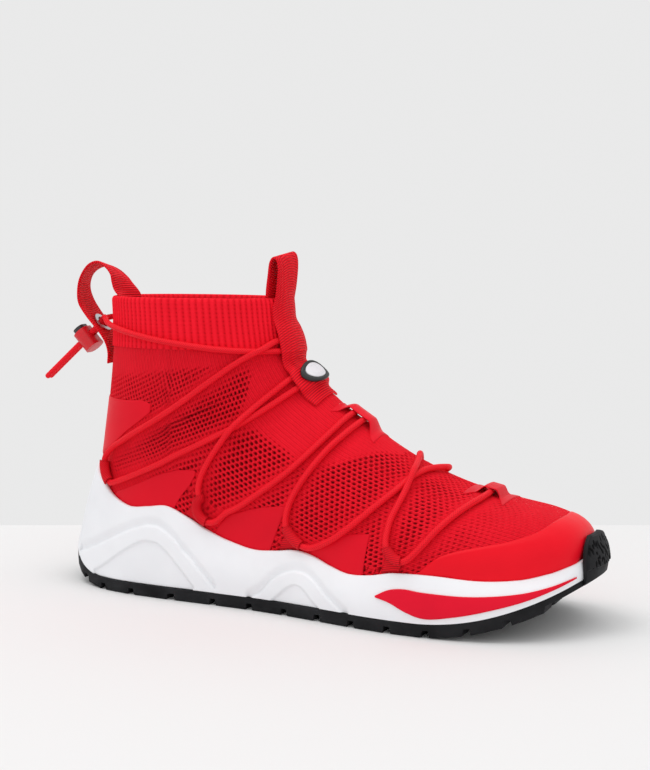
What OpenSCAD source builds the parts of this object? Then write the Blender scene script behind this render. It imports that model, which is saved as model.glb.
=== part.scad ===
// Right-foot knit high top trainer, built up the way the shoe is lasted and lined.
// +X points to the toe, +Z up, and the medial (inner) side is +Y.
// The origin lies on the ground under the middle of the tread.

/* [Shoe size] */
// Overall length of the sole, heel lip to toe bumper
shoe_length = 304; // [296:1:312]
// Width of the sole across the ball of the foot
shoe_width = 103; // [99:1:107]
// Height of the collar above the ground
collar_height = 159; // [155:1:165]

/* [Sole] */
// Thickness of the rubber sheet between the lugs and the foam
rubber_t = 3.0; // [2.6:0.1:3.2]
// Depth of the tread lugs
lug_h = 3.2; // [2.4:0.1:3.4]
// Width of the foam lip at the feather line
lip_w = 2.4; // [2.0:0.1:2.8]
// Thickness of the inlaid side panels
panel_t = 0.8; // [0.6:0.1:1.2]

/* [Upper] */
// Thickness of the knitted upper
knit_t = 1.8; // [1.4:0.1:2.2]
// Thickness of the folded ribbed cuff
rib_t = 3.2; // [2.6:0.1:3.6]
// Thickness of the bonded film overlays
film_t = 0.6; // [0.4:0.1:0.8]
// Thickness of the toe mudguard
guard_t = 0.9; // [0.6:0.1:1.1]
// Clearance left between glued soft layers
gap = 0.3; // [0.25:0.05:0.4]

/* [Inside] */
// Thickness of the lasting board
board_t = 1.2; // [1:0.1:1.6]
// Thickness of the insole
insole_t = 4; // [3:0.5:5]
// Thickness of the heel counter and of the toe puff
stiffener_t = 1; // [0.8:0.1:1.2]

/* [Lace and webbing] */
// Diameter of the round lace
lace_d = 3.2; // [2.8:0.1:3.4]
// Thickness of the lace loop webbing
loop_t = 0.8; // [0.6:0.1:0.9]
// Width of the pull tab webbing
webbing_w = 20; // [18:0.5:21]
// Thickness of the pull tab webbing
webbing_t = 1.3; // [1.1:0.1:1.5]
// Length of the two lace tails behind the grommet
tail_length = 47; // [38:1:52]

/* [Cord lock] */
// Width of the oval cord lock barrel along the lace
barrel_w = 9.6; // [9.4:0.1:10.4]
// Travel of the button that frees the lace
press_travel = 2; // [1:0.1:2]
// Distance from the grommet to the barrel axis
lock_place = 12; // [11:0.5:16]

/* [Hidden] */

// Scale factors from the size that the tables below were drawn at
sx = shoe_length / 304;
sy = shoe_width / 103;
sz = collar_height / 159;
origin_x = 143;
function place(p) = [(p[0] - origin_x) * sx, p[1] * sy, p[2] * sz];

// ---- small helpers --------------------------------------------------------
function mix(p, q, t) = p + (q - p) * t;
function clamp(x, lo, hi) = min(max(x, lo), hi);
function unit(v) = v / max(norm(v), 1e-9);
function reverse(v) = [for (i = [len(v) - 1 : -1 : 0]) v[i]];
function steps(lo, hi, n) = [for (i = [0 : n]) lo + (hi - lo) * i / n];
// Smooth curve through rows of a table, at a fractional row number
function row_at(rows, u) =
    let (last = len(rows) - 1,
         i = clamp(floor(u), 0, last - 1),
         t = u - i,
         b = rows[i],
         c = rows[i + 1],
         a = i > 0 ? rows[i - 1] : 2 * b - c,
         d = i + 2 <= last ? rows[i + 2] : 2 * c - b)
    0.5 * (2 * b + (c - a) * t + (2 * a - 5 * b + 4 * c - d) * t * t + (3 * b - a - 3 * c + d) * t * t * t);
// Height of an outline [[x, z], ...] at x, eased between its points
function outline_at(pts, x, i = 0) =
    x <= pts[0][0] ? pts[0][1]
    : i >= len(pts) - 1 ? pts[len(pts) - 1][1]
    : x > pts[i + 1][0] ? outline_at(pts, x, i + 1)
    : row_at([for (p = pts) p[1]], i + (x - pts[i][0]) / (pts[i + 1][0] - pts[i][0]));

// ---- solids from rings of points -----------------------------------------
// Faces between each ring and the next one, as pairs of triangles
function side_faces(m, n) = [for (i = [0 : n - 2], j = [0 : m - 1])
    let (k = (j + 1) % m)
    each [[i * m + j, i * m + k, (i + 1) * m + k], [i * m + j, (i + 1) * m + k, (i + 1) * m + j]]];
// Rings of equal length joined into a tube, with flat ends
module tube_solid(rings) {
    m = len(rings[0]);
    n = len(rings);
    first = [for (j = [m - 1 : -1 : 0]) j];
    final = [for (j = [0 : m - 1]) (n - 1) * m + j];
    polyhedron([for (r = rings) each r], concat(side_faces(m, n), [first, final]), convexity = 12);
}
// Rings joined into a closed loop
module loop_solid(rings) {
    m = len(rings[0]);
    n = len(rings);
    polyhedron([for (r = rings) each r],
        [for (f = side_faces(m, n + 1)) [for (v = f) v % (m * n)]], convexity = 12);
}
// The same, for flat rings that fold back on themselves: the ends are closed across the fold
module folded_solid(rings) {
    m = len(rings[0]);
    n = len(rings);
    first = [for (j = [0 : m / 2 - 2]) [j + 1, j, m - 1 - j, m - 2 - j]];
    final = [for (j = [0 : m / 2 - 2]) [j, j + 1, m - 2 - j, m - 1 - j] + (n - 1) * m * [1, 1, 1, 1]];
    polyhedron([for (r = rings) each r], concat(first, side_faces(m, n), final), convexity = 12);
}
// Unit normals of a grid of points
function grid_normals(g) =
    let (n = len(g) - 1, m = len(g[0]) - 1)
    [for (i = [0 : n]) [for (j = [0 : m])
        unit(cross(g[min(i + 1, n)][j] - g[max(i - 1, 0)][j],
                   g[i][min(j + 1, m)] - g[i][max(j - 1, 0)]))]];
// A sheet of even thickness about a grid of points
function sheet_rings(g, thick) =
    let (nn = grid_normals(g), m = len(g[0]) - 1)
    [for (i = [0 : len(g) - 1]) concat(
        [for (j = [0 : m]) g[i][j] + nn[i][j] * thick / 2],
        [for (j = [m : -1 : 0]) g[i][j] - nn[i][j] * thick / 2])];
module sheet(g, thick) {
    folded_solid(sheet_rings(g, thick));
}

// ---- the lasted surface ----------------------------------------------------
// Each row is one ring around the foot, from the toe tip to the collar:
// front x z, back x z, centre y, lateral and medial half width,
// height of the widest point, squareness below and above it
SKIN = [
    [287.5, 39, 287.5, 35, 5, 4, 4, 0.50, 2.0, 2.0],
    [286, 45.5, 285, 30, 5, 17, 15, 0.45, 2.6, 2.2],
    [280, 51.5, 277, 25, 5, 29, 25, 0.40, 3.2, 2.3],
    [267, 56.5, 262, 20, 4, 39, 33, 0.38, 4.0, 2.3],
    [246, 60.5, 241, 15.5, 3, 45.5, 39, 0.35, 5.0, 2.2],
    [221, 67, 216, 13, 2, 48.5, 42, 0.30, 5.0, 2.0],
    [196, 78, 188, 13, 1, 46.5, 41, 0.26, 5.0, 1.85],
    [175, 91, 158, 14, 0, 40.5, 38, 0.24, 5.0, 1.8],
    [158.5, 101.5, 126, 16, 0, 36, 35, 0.26, 5.0, 1.85],
    [149, 109, 92, 19, 0, 34, 33, 0.30, 4.5, 1.9],
    [144.2, 112.5, 60, 22, 0, 33, 32, 0.36, 4.0, 1.95],
    [140.8, 115.5, 33, 25, 0, 32.5, 32, 0.42, 3.2, 2.0],
    [137.5, 118, 15, 34, 0, 32.5, 32, 0.46, 2.6, 2.05],
    [134.6, 120.5, 9.5, 54, 0, 32, 31.5, 0.48, 2.3, 2.1],
    [131.8, 123.5, 12.5, 80, 0, 32, 31.5, 0.48, 2.2, 2.1],
    [129.1, 127, 16.5, 106, 0, 32, 31.5, 0.48, 2.2, 2.1],
    [126.6, 131.5, 19, 131, 0, 31.5, 31.5, 0.48, 2.2, 2.1],
    [124.1, 145.5, 19.5, 145.5, 0, 31, 31, 0.48, 2.2, 2.1],
    [122.7, 159, 19, 159, 0, 31, 31, 0.48, 2.2, 2.1]
];
U_CUFF = 16.1;
U_RIM = 18;
// A point of the outer face of the upper. u counts rings from the toe; a is the angle
// around the ring in degrees, 0 on the ridge, positive to lateral, 180 under the foot
function skin(u, angle) =
    let (a = angle > 180 ? angle - 360 : angle,
         r = row_at(SKIN, u),
         c = cos(a),
         s = sin(abs(a)),
         n = c >= 0 ? r[9] : r[8],
         q = (c >= 0 ? 1 : -1) * pow(abs(c), 2 / n),
         t = c >= 0 ? r[7] + (1 - r[7]) * q : r[7] * (1 + q),
         y = r[4] + (a >= 0 ? -r[5] : r[6]) * pow(abs(s), 2 / n))
    place([r[2] + (r[0] - r[2]) * t, y, r[3] + (r[1] - r[3]) * t]);
function skin_normal(u, a) =
    let (v0 = max(u - 0.03, 0), v1 = min(u + 0.03, U_RIM))
    unit(cross(skin(v1, a) - skin(v0, a), skin(u, a + 1.5) - skin(u, a - 1.5)));
// The point at height n over the surface; p is [u, a, n]
function over(p) = skin(p[0], p[1]) + skin_normal(p[0], p[1]) * p[2];

// Feather line, where the foam lip meets the upper, seen from the side
FEATHER = [
    [9, 66.5], [14, 62], [23, 56.5], [33, 49.5], [44, 45.6], [56, 46.6], [68, 47.8], [80, 43.5],
    [92, 38], [104, 33.5], [121, 29.8], [134, 30.4], [148, 32.2], [158, 30.6], [168, 27],
    [179, 24.4], [191, 25.2], [204, 27.8], [223, 28.2], [246, 26.8], [264, 27.8], [276, 30.5],
    [284, 33.5], [289, 37]
];
function feather_gap(u, a) =
    let (p = skin(u, a))
    p[2] / sz - outline_at(FEATHER, p[0] / sx + origin_x);
// Angle at which ring u crosses the feather line, raised by lift
function feather_angle(u, side, lift = 0, lo = 4, hi = 179.9, n = 16) =
    n == 0 ? side * (lo + hi) / 2
    : feather_gap(u, side * (lo + hi) / 2) > lift
        ? feather_angle(u, side, lift, (lo + hi) / 2, hi, n - 1)
        : feather_angle(u, side, lift, lo, (lo + hi) / 2, n - 1);

// ---- the sole ---------------------------------------------------------------
// Skin ring, edge x, lateral edge y, medial edge y
SOLE = [
    [0.02, 292, 2, 8],
    [1, 288.5, -13, 21],
    [2, 281, -29, 32],
    [3, 268, -41, 41],
    [4, 248, -50, 46.5],
    [5, 222, -53.5, 49.5],
    [6, 194, -52.5, 47],
    [7, 163, -47.5, 42],
    [8, 129, -42.5, 38.5],
    [9, 95, -41, 38],
    [10, 63, -40.5, 38],
    [11, 35, -37.5, 36.5],
    [12, 11, -28, 28],
    [12.8, -2, -15, 15],
    [13.43, -7, -1.5, 1.5]
];
HEEL_ROW = 14;
// Height of the underside above the ground: heel bevel and toe spring
function rise(x) =
    x < 26 ? 16 * pow((26 - x) / 33, 2)
    : x > 215 ? 0.0037 * pow(x - 215, 2)
    : 0;
sole_t = lug_h + rubber_t;
// Point on the top of the rubber at the edge (side 1 lateral, -1 medial)
function sole_edge(k, side, up = 0) =
    let (r = row_at(SOLE, k))
    place([r[1], side > 0 ? r[2] : r[3], rise(r[1])]) + [0, 0, sole_t + up];
// Chevron relief of the foam: shallow steps under two peaks, seen from the side
PEAK_REAR = [[4, 16], [15, 20], [34, 28.6], [51, 35.6], [60, 37.5], [68, 35.4], [80, 26.2], [101, 8]];
PEAK_REAR_INNER = [[20, 9], [28, 13.6], [41, 22], [53, 28.4], [59, 29.5], [66, 28], [77, 19.3], [88, 8]];
PEAK_FRONT = [[120, 5], [128, 9.8], [134, 16.2], [142, 21], [150, 22.8], [158, 20.6], [169, 12], [181, 4]];
PEAK_FRONT_INNER = [[132, 4], [137, 8.5], [146, 15.3], [152, 15.9], [159, 10], [167, 4]];
// 1 below the line, 0 above it, over a soft step of the given width
function step_under(line, x, z, soft) =
    x < line[0][0] || x > line[len(line) - 1][0] ? 0
    : clamp((outline_at(line, x) - z) / soft + 0.5, 0, 1);
function relief(x, z) =
    0.9 * step_under(PEAK_REAR, x, z, 2.5) - 1.1 * step_under(PEAK_REAR, x, z - 3, 7)
    - 0.5 * step_under(PEAK_REAR_INNER, x, z, 2)
    + 0.9 * step_under(PEAK_FRONT, x, z, 2.5) - 1.1 * step_under(PEAK_FRONT, x, z - 3, 7)
    - 0.5 * step_under(PEAK_FRONT_INNER, x, z, 2);
// Point of the foam side wall: t runs from the lip (0) to the rubber (1); out lifts it off the wall
function wall(k, side, t, out = 0, feather = undef) =
    let (u = row_at(SOLE, k)[0],
         a = is_undef(feather) ? feather_angle(u, side) : feather,
         lip = skin(u, a) + unit([for (i = [0 : 2]) i < 2 ? skin_normal(u, a)[i] : 0]) * (gap + lip_w),
         edge = sole_edge(k, side, 0.3),
         base = mix(lip, edge, t),
         centre = place([row_at(SKIN, u)[2], row_at(SKIN, u)[4], 0]),
         flat = unit([edge[0] - centre[0], edge[1] - centre[1], 0]))
    base + flat * (1.4 * sin(180 * t) + relief(base[0] / sx + origin_x, base[2] / sz) + out);
// Ring of the foam at sole row k: cavity, lip, wall, underside and back again
WALL_T = [0, 0.1, 0.22, 0.34, 0.46, 0.58, 0.7, 0.85, 1];
function foam_half(k, side) =
    let (u = row_at(SOLE, k)[0],
         a = feather_angle(u, side),
         cavity = [for (b = steps(side * 177, a, 8)) over([u, b, gap])],
         lip = over([u, a, gap]))
    concat(
        cavity,
        [lip + unit([skin_normal(u, a)[0], skin_normal(u, a)[1], 0]) * lip_w * 0.45 + [0, 0, 0.7]],
        [for (t = WALL_T) wall(k, side, t, 0, a)]);
module midsole() {
    rows = concat(steps(0, 1, 3), steps(1.33, HEEL_ROW - 1, 32), steps(HEEL_ROW - 0.75, HEEL_ROW, 3));
    color("white") folded_solid([for (k = rows)
        let (lat = foam_half(k, 1),
             med = foam_half(k, -1))
        concat(lat, reverse(med))]);
}

// ---- upper ------------------------------------------------------------------
RING_STEP = 12;
RING_A = [for (j = [0 : 360 / RING_STEP - 1]) (j + 0.5) * RING_STEP];
module knit_upper() {
    outer = concat([0, 0.15], steps(0.4, 15.9, 25), [U_CUFF]);
    inner = concat([U_CUFF, 15.3, 14.5], steps(13.9, 10.9, 6), steps(10, 3, 7), [2.5, 2, 1.6, 1.2]);
    color("red") tube_solid(concat(
        [for (u = outer) [for (a = RING_A) skin(u, a)]],
        [for (u = inner) [for (a = RING_A) over([u, a, -knit_t])]]));
}
module rib_cuff() {
    // Height over the skin and ring number, up the outer face, over the rolled rim and down inside
    section = concat(
        [for (u = steps(U_CUFF + 0.02, 17.8, 3)) [u, 0.4]],
        [[17.94, 0.05], [U_RIM, -0.9], [U_RIM, -1.7], [17.94, -2.5]],
        [for (u = steps(17.8, U_CUFF + 0.02, 3)) [u, 0.4 - rib_t]]);
    color("red") loop_solid([for (p = section) [for (a = steps(0, 351, 39)) over([p[0], a, p[1]])]]);
}

// ---- bonded films -----------------------------------------------------------
// Inner edge u and angle, outer edge u, and share of the feather angle, toe guard from side to centre
GUARD = [
    [5.0, 88, 5.12, 1], [4.65, 76, 4.6, 1], [3.9, 67, 3.8, 1], [3.35, 60, 2.9, 1],
    [2.85, 46, 1.9, 1], [2.58, 24, 1.0, 1], [2.45, 0, 0.15, 0]
];
LIFT = 1.1; // films end this far above the foam lip
function guard_row(v, side) =
    let (r = row_at(GUARD, v),
         outer_a = r[3] * feather_angle(r[2], side, LIFT))
    [for (f = steps(0, 1, 6)) over([mix(r[0], r[2], f), mix(side * r[1], outer_a, f), gap + guard_t / 2])];
module toe_guard() {
    vs = steps(0, 6, 14);
    rows = concat([for (v = vs) guard_row(v, 1)], [for (i = [13 : -1 : 0]) guard_row(vs[i], -1)]);
    color("crimson") sheet(rows, guard_t);
}
// Angle, lower and upper u of the film on the heel
HEEL_FILM = [
    [101, 14.1, 14.35], [108, 13.95, 14.54], [119, 13.8, 14.64], [130, 13.66, 14.73], [143, 13.6, 14.82],
    [161, 13.6, 14.9], [180, 13.62, 14.93], [199, 13.6, 14.9], [217, 13.6, 14.82], [230, 13.66, 14.73],
    [241, 13.8, 14.64], [252, 13.95, 14.54], [259, 14.1, 14.35]
];
module heel_film() {
    color("crimson") sheet([for (i = steps(0, 12, 18))
        let (r = row_at(HEEL_FILM, i))
        [for (u = steps(r[1], r[2], 5)) over([u, r[0], 1.4 * gap + film_t / 2])]], film_t);
}
// u and upper angle of each side film; each one reaches down to the foam lip
SIDE_FILMS = [
    [[12.32, 124], [12.1, 107], [11.85, 94], [11.4, 88], [10.95, 84], [10.7, 89], [10.47, 97]],
    [[9.2, 91], [8.95, 86.5], [8.7, 82], [8.35, 77.5], [8.02, 74]],
    [[7.22, 85], [6.9, 79], [6.5, 73.5], [6.1, 70]]
];
module side_film(number, side) {
    edge = SIDE_FILMS[number - 1];
    color("crimson") sheet([for (i = steps(0, len(edge) - 1, 2 * len(edge) - 2))
        let (r = row_at(edge, i))
        [for (f = steps(0, 1, 4))
            over([r[0], mix(side * r[1], feather_angle(r[0], side, LIFT), f), gap + film_t / 2])]],
        film_t);
}

// ---- stiffeners and footbed -------------------------------------------------
module heel_counter() {
    color("ivory") sheet([for (a = steps(96, 264, 14))
        [for (u = steps(12.5, 14.2, 6)) over([u, a, -knit_t - 2 * gap - stiffener_t / 2])]], stiffener_t);
}
module toe_puff() {
    color("ivory") sheet([for (u = steps(1.3, 2.4, 5))
        [for (a = steps(-82, 82, 12)) over([u, a, -knit_t - 2 * gap - stiffener_t / 2])]], stiffener_t);
}
// Layer of the footbed, between two heights over the inner floor, out to this many ring columns
module footbed(low, thick, columns) {
    folded_solid([for (u = concat(steps(1.5, 11, 13), [11.4, 11.75]))
        let (edge = 180 - columns * RING_STEP,
             floor_pts = [for (a = steps(edge, 360 - edge, 2 * columns)) over([u, a, -knit_t - 2 * gap - low])],
             up = [0, 0, thick])
        concat(reverse([for (p = floor_pts) p + up]), floor_pts)]);
}
module lasting_board() {
    color("tan") footbed(0, board_t, 3);
}
module insole() {
    color("dimgray") footbed(board_t + gap, insole_t, 3);
}

// ---- lace route ---------------------------------------------------------------
lace_r = lace_d / 2;
n_skin = gap + lace_r;
eye_in = lace_r + 0.25;
n_eye = gap + loop_t + eye_in + 0.05;
n_cuff = n_skin + 0.45;
n_over = n_skin + lace_d + 0.2;
// One half of the lace as [u, angle, height] over the upper, from the front guide to the collar.
// s is 1 for the half that starts to lateral. Two points in a row at n_eye run inside a loop.
function route(s) =
    let (first = s > 0)
    concat(
        [[4.35, 0, n_skin], [4.35, s * 13, n_skin], [4.43, s * 26, n_skin], [4.62, s * 42, n_skin],
         [4.85, s * 58, n_skin], [5.1, s * 74, n_skin + 0.3]],
        [[5.35, s * 82.5, n_eye], [5.67, s * 76, n_eye]],
        [[5.76, s * 62, n_skin + 0.1], [5.72, s * 46, n_skin]],
        first
            ? [[5.71, 36, n_skin + 1], [5.75, 25, n_over], [5.84, 12, n_skin + 0.9], [5.97, -3, n_skin],
               [6.1, -18, n_skin], [6.25, -38, n_skin], [6.5, -58, n_skin + 0.3]]
            : [[5.66, -33, n_skin], [5.5, -20, n_skin + 0.4], [5.42, -9, n_skin + 0.8], [5.5, 2, n_skin + 0.2],
               [5.62, 13, n_skin], [5.73, 25, n_skin], [5.9, 42, n_skin], [6.25, 60, n_skin + 0.4]],
        [[6.65, -s * 75, n_skin + 0.8], [7.05, -s * 85, n_skin + 1]],
        [[7.38, -s * 88, n_eye], [7.8, -s * 82.5, n_eye]],
        [[7.95, -s * 73, n_skin + 0.1], [7.9, -s * 60, n_skin]],
        first
            ? [[7.78, -46, n_skin + 0.8], [7.63, -30, n_over], [7.68, -18, n_skin + 0.8],
               [7.73, -9, n_skin], [7.73, 9, n_skin]]
            : [[7.7, 42, n_skin], [7.5, 26, n_skin], [7.4, 11, n_skin], [7.4, -11, n_skin],
               [7.55, -28, n_skin]],
        [[7.82, s * 27, n_skin], [8.0, s * 42, n_skin], [8.3, s * 58, n_skin], [8.75, s * 75, n_skin],
         [9.1, s * 87, n_skin + 0.4]],
        [[9.45, s * 93, n_eye], [10.1, s * 89.5, n_eye]],
        first
            ? [[10.5, 84.5, n_skin + 0.2], [10.85, 77.5, n_skin], [11.2, 68.5, n_skin + 0.9],
               [11.5, 60, n_over], [11.8, 50, n_skin + 0.9], [12.15, 37, n_skin], [12.65, 19, n_skin],
               [12.65, 0, n_skin], [12.65, -19, n_skin], [12.5, -40, n_skin], [12.42, -62, n_skin],
               [12.38, -84, n_skin]]
            : [[10.5, -84.5, n_skin + 0.2], [10.8, -76, n_skin], [11.05, -62, n_skin],
               [11.2, -45, n_skin], [11.2, -25, n_skin], [11.15, 0, n_skin], [11.15, 25, n_skin],
               [11.2, 40, n_skin], [11.35, 52, n_skin], [11.52, 61, n_skin], [11.8, 72, n_skin],
               [12.1, 87, n_skin]],
        [[12.35, -s * 103, n_skin], [12.52, -s * 118, n_skin + 0.3]],
        [[12.68, -s * 128.5, n_eye], [13.3, -s * 135, n_eye]],
        [[13.52, -s * 129, n_skin + 0.4], [13.6, -s * 118, n_skin + 0.2], [13.67, -s * 107, n_skin + 0.6]],
        first
            ? [[13.8, -95, n_skin], [14.1, -82, n_skin], [14.6, -68, n_skin], [15.1, -54, n_skin],
               [15.55, -40, n_skin], [15.8, -28, n_cuff], [15.9, -18, n_cuff], [15.93, 0, n_cuff],
               [15.95, 18, n_cuff], [15.98, 38, n_cuff], [16.06, 58, n_cuff]]
            : [[13.8, 95, n_skin], [14.1, 82, n_skin], [14.6, 68, n_skin], [15.15, 56, n_skin + 0.2],
               [15.65, 46, n_cuff + 0.7], [16.0, 37, n_over + 0.6], [16.28, 28, n_cuff + 1],
               [16.42, 18, n_cuff], [16.42, 0, n_cuff], [16.4, -18, n_cuff], [16.34, -38, n_cuff],
               [16.28, -58, n_cuff]],
        [[first ? 16.25 : 16.3, s * 84, n_cuff], [16.48, s * 108, n_cuff], [16.68, s * 128, n_cuff]]);
HALF = [route(1), route(-1)];
function route_point(half, t) = over(row_at(HALF[half], t));
// Last stretch of each half, from the collar through the grommet
grommet_at = place([5.9, 0, 142.5]);
grommet_pitch = 42;
grommet_yaw = 6;
tail_pitch = lace_d / 2 + 0.15;
// A point of the grommet's frame (x along the lace towards the shoe, z up the cord lock)
function from_grommet(p) =
    let (cx = cos(grommet_pitch), sx = sin(grommet_pitch),
         cy = cos(grommet_yaw), sy = sin(grommet_yaw),
         q = [p[0] * cx - p[2] * sx, p[1], p[0] * sx + p[2] * cx])
    grommet_at + [q[0] * cy - q[1] * sy, q[0] * sy + q[1] * cy, q[2]];
function to_grommet(s) = [
    place([24, -s * 20, 144]), place([16, -s * 11, 146.5]),
    from_grommet([4.5, -s * 2.6, 0.6]), from_grommet([0.5, -s * tail_pitch, 0]),
    from_grommet([-2.4, -s * tail_pitch, 0])
];
function smooth_path(pts, n) = [for (t = steps(0, len(pts) - 1, n)) row_at(pts, t)];
function half_path(half) =
    let (w = HALF[half], last = len(w) - 1,
         held = [for (i = [0 : last - 1])
             let (n = max(w[i][2], w[i + 1][2]) == n_eye ? 4 : 2)
             each [for (t = [0 : n - 1]) route_point(half, i + t / n)]],
         free = smooth_path(concat([held[len(held) - 1], route_point(half, last)], to_grommet(1 - 2 * half)), 18))
    concat(held, [for (i = [3 : 18]) free[i]]);
// Rings of a round cord along a path, turned as little as possible
function cord_rings(path, r, sides) =
    let (n = len(path) - 1,
         tangent = [for (i = [0 : n]) unit(path[min(i + 1, n)] - path[max(i - 1, 0)])],
         start = unit(cross(tangent[0], [0.1, 0.2, 1])),
         normals = [for (i = 0, v = start; i <= n; i = i + 1,
             v = i > n ? v : unit(v - tangent[i] * (v * tangent[i]))) v])
    [for (i = [0 : n])
        let (v = normals[i], w = cross(tangent[i], v))
        [for (j = [0 : sides - 1]) path[i] + (v * cos(j * 360 / sides) - w * sin(j * 360 / sides)) * r]];
module lace() {
    first = half_path(0);
    second = half_path(1);
    color("red") tube_solid(cord_rings(concat(reverse(first), [for (i = [1 : len(second) - 1]) second[i]]),
        lace_r, 6));
}
module lace_tail(s) {
    color("red") tube_solid(cord_rings([for (x = steps(-2.8, -tail_length, 6))
        from_grommet([x, -s * tail_pitch, 0])], lace_r, 12));
}

// ---- lace loops ---------------------------------------------------------------
// Section of the folded webbing: s along the upper from the lace, n over the upper.
// The tail under the lace reaches the sole; the free end lies on top of it
eye_out = eye_in + loop_t;
BASE_U = [[5.72, 5.4], [7.84, 7.44], [10.1, 9.52], [13.0, 12.55]];
// Position where the route has its loop number 1 (heel) to 4 (toe) on this side
function eye_index(half, count) =
    [for (i = [0 : len(HALF[half]) - 2])
        if (HALF[half][i][2] == n_eye && HALF[half][i + 1][2] == n_eye) i][count];
module lace_loop(number, side) {
    count = 4 - number;
    half = (side > 0 ? count : count + 1) % 2;
    start = eye_index(half, count);
    forward = HALF[half][start][0] < HALF[half][start + 1][0];
    rows = [for (f = steps(0, 1, 3))
        let (w = row_at(HALF[half], start + f),
             c = over(w),
             nn = skin_normal(w[0], w[1]),
             along = unit(route_point(half, start + f + 0.05) - route_point(half, start + f - 0.05)),
             bu = mix(BASE_U[count][1], BASE_U[count][0], f),
             ba = feather_angle(bu, side, LIFT + 0.3),
             base = skin(bu, ba),
             across = unit(cross(along, nn)),
             toward = across * (base - c) > 0 ? across : -across,
             up = unit(cross(toward, along)),
             lift = up * nn > 0 ? up : -up,
             low_n = c - lift * (eye_in + loop_t / 2),
             eye = [for (d = steps(-90, -318, 7)) [eye_in * cos(d), eye_in * sin(d)]],
             rim = [for (d = steps(-322, -90, 7)) [eye_out * cos(d), eye_out * sin(d)]],
             tail = [for (g = [0.35, 0.7, 1]) [mix(w[0], bu, g), mix(w[1], ba, g)]])
        concat(
            [for (i = [2 : -1 : 0]) over([tail[i][0], tail[i][1], gap + loop_t])],
            [for (p = eye) c + toward * p[0] + lift * p[1]],
            [for (p = rim) c + toward * p[0] + lift * p[1]],
            [for (i = [0 : 2]) over([tail[i][0], tail[i][1], gap])])];
    color("red") folded_solid(side * (forward ? 1 : -1) > 0 ? reverse(rows) : rows);
}

// ---- throat guides --------------------------------------------------------------
// Bonded strip along the ridge, arched over the lace strands that cross beneath it
module throat_guide(middle, reach, slot) {
    high = n_skin + lace_r + 0.3 + film_t / 2;
    flat_n = gap + film_t / 2;
    color("crimson") sheet([for (v = [-1, -0.85, -0.7, -0.62, -0.5, -0.4, -0.2, 0, 0.2, 0.4, 0.5, 0.62, 0.7, 0.85, 1])
        let (d = abs(v) * reach,
             n = d < slot ? high : mix(high, flat_n, clamp((d - slot) / (reach * 0.24), 0, 1)),
             w = 8 + 13 * clamp((abs(v) - 0.4) / 0.6, 0, 1))
        [for (a = steps(-w, w, 4)) over([middle + v * reach, a, n])]], film_t);
}
module throat_guide_rear() {
    throat_guide(7.57, 0.75, 0.3);
}
module throat_guide_front() {
    throat_guide(4.35, 0.42, 0.1);
}

// ---- front pull tab --------------------------------------------------------------
// Ring number, height of the webbing's middle over the skin and its centre y, from the sewn end up
TAB_REST = gap + webbing_t / 2;
TAB_OVER = n_cuff + lace_r + 0.2 + webbing_t / 2;
TAB_SEAT = [
    [8.95, TAB_REST, -3], [9.5, TAB_REST, -3], [10.1, TAB_REST + 0.7, -3], [10.6, TAB_OVER - 1, -3],
    [11.1, TAB_OVER - 0.3, -3], [11.6, TAB_OVER - 0.3, -3], [12.1, TAB_OVER - 0.3, -3],
    [12.65, TAB_OVER - 0.3, -3], [13.2, TAB_OVER - 0.8, -2.8], [13.9, TAB_REST + 0.8, -2.6],
    [14.7, TAB_REST + 0.7, -2.4], [15.4, TAB_OVER - 0.8, -2.2], [15.9, TAB_OVER, -2],
    [16.42, TAB_OVER, -2], [16.8, TAB_OVER - 1.3, -2], [17.15, TAB_REST + 0.7, -2],
    [17.6, TAB_REST + 0.6, -2]
];
// Webbing clear of the skin: x and z of its middle, bow, twist, centre y and rise across its width
TAB_FREE = [
    [124.6, 158.6, -2, 2, -2, 0], [124.8, 167, -0.8, 4, -2, 0.5], [125, 175.5, -0.3, 5, -2, 1.5],
    [124, 180.2, -0.2, 6, -2, 2.5], [121.7, 181.2, 0, 6, -2, 3], [119.9, 178.5, 0, 6, -2, 2.5],
    [119.1, 171, -0.4, 5, -2, 1], [118.7, 163, -1.8, 2, -1.5, 0], [118.4, 157, -2.5, 0, -0.5, 0],
    [118.3, 151, -2.5, 0, -0.5, 0]
];
TAB_F = steps(-0.5, 0.5, 3);
function webbing_row(r) = [for (f = TAB_F)
    place([r[0] + f * webbing_w * sin(r[3]) + 4 * f * f * r[2], r[4] + f * webbing_w * cos(r[3]) / sy,
           r[1] + f * r[5]])];
// Angle on ring u at which the skin is y to medial of the centre
function angle_at_y(u, y) =
    let (r = row_at(SKIN, u), d = y - r[4], w = d < 0 ? r[5] : r[6])
    (d < 0 ? 1 : -1) * asin(pow(clamp(abs(d) / w, 0, 1), r[9] / 2));
function tab_point(u, n, y) = over([u, angle_at_y(u, y), n]);
module front_pull_tab() {
    held = [for (i = steps(0, len(TAB_SEAT) - 1, 24))
        let (r = row_at(TAB_SEAT, i))
        [for (f = TAB_F) tab_point(r[0], r[1], r[2] + f * webbing_w / sy)]];
    free = [for (i = steps(0, len(TAB_FREE) - 1, 14)) webbing_row(row_at(TAB_FREE, i))];
    color("red") sheet(concat(held, free), webbing_t);
}
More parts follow.
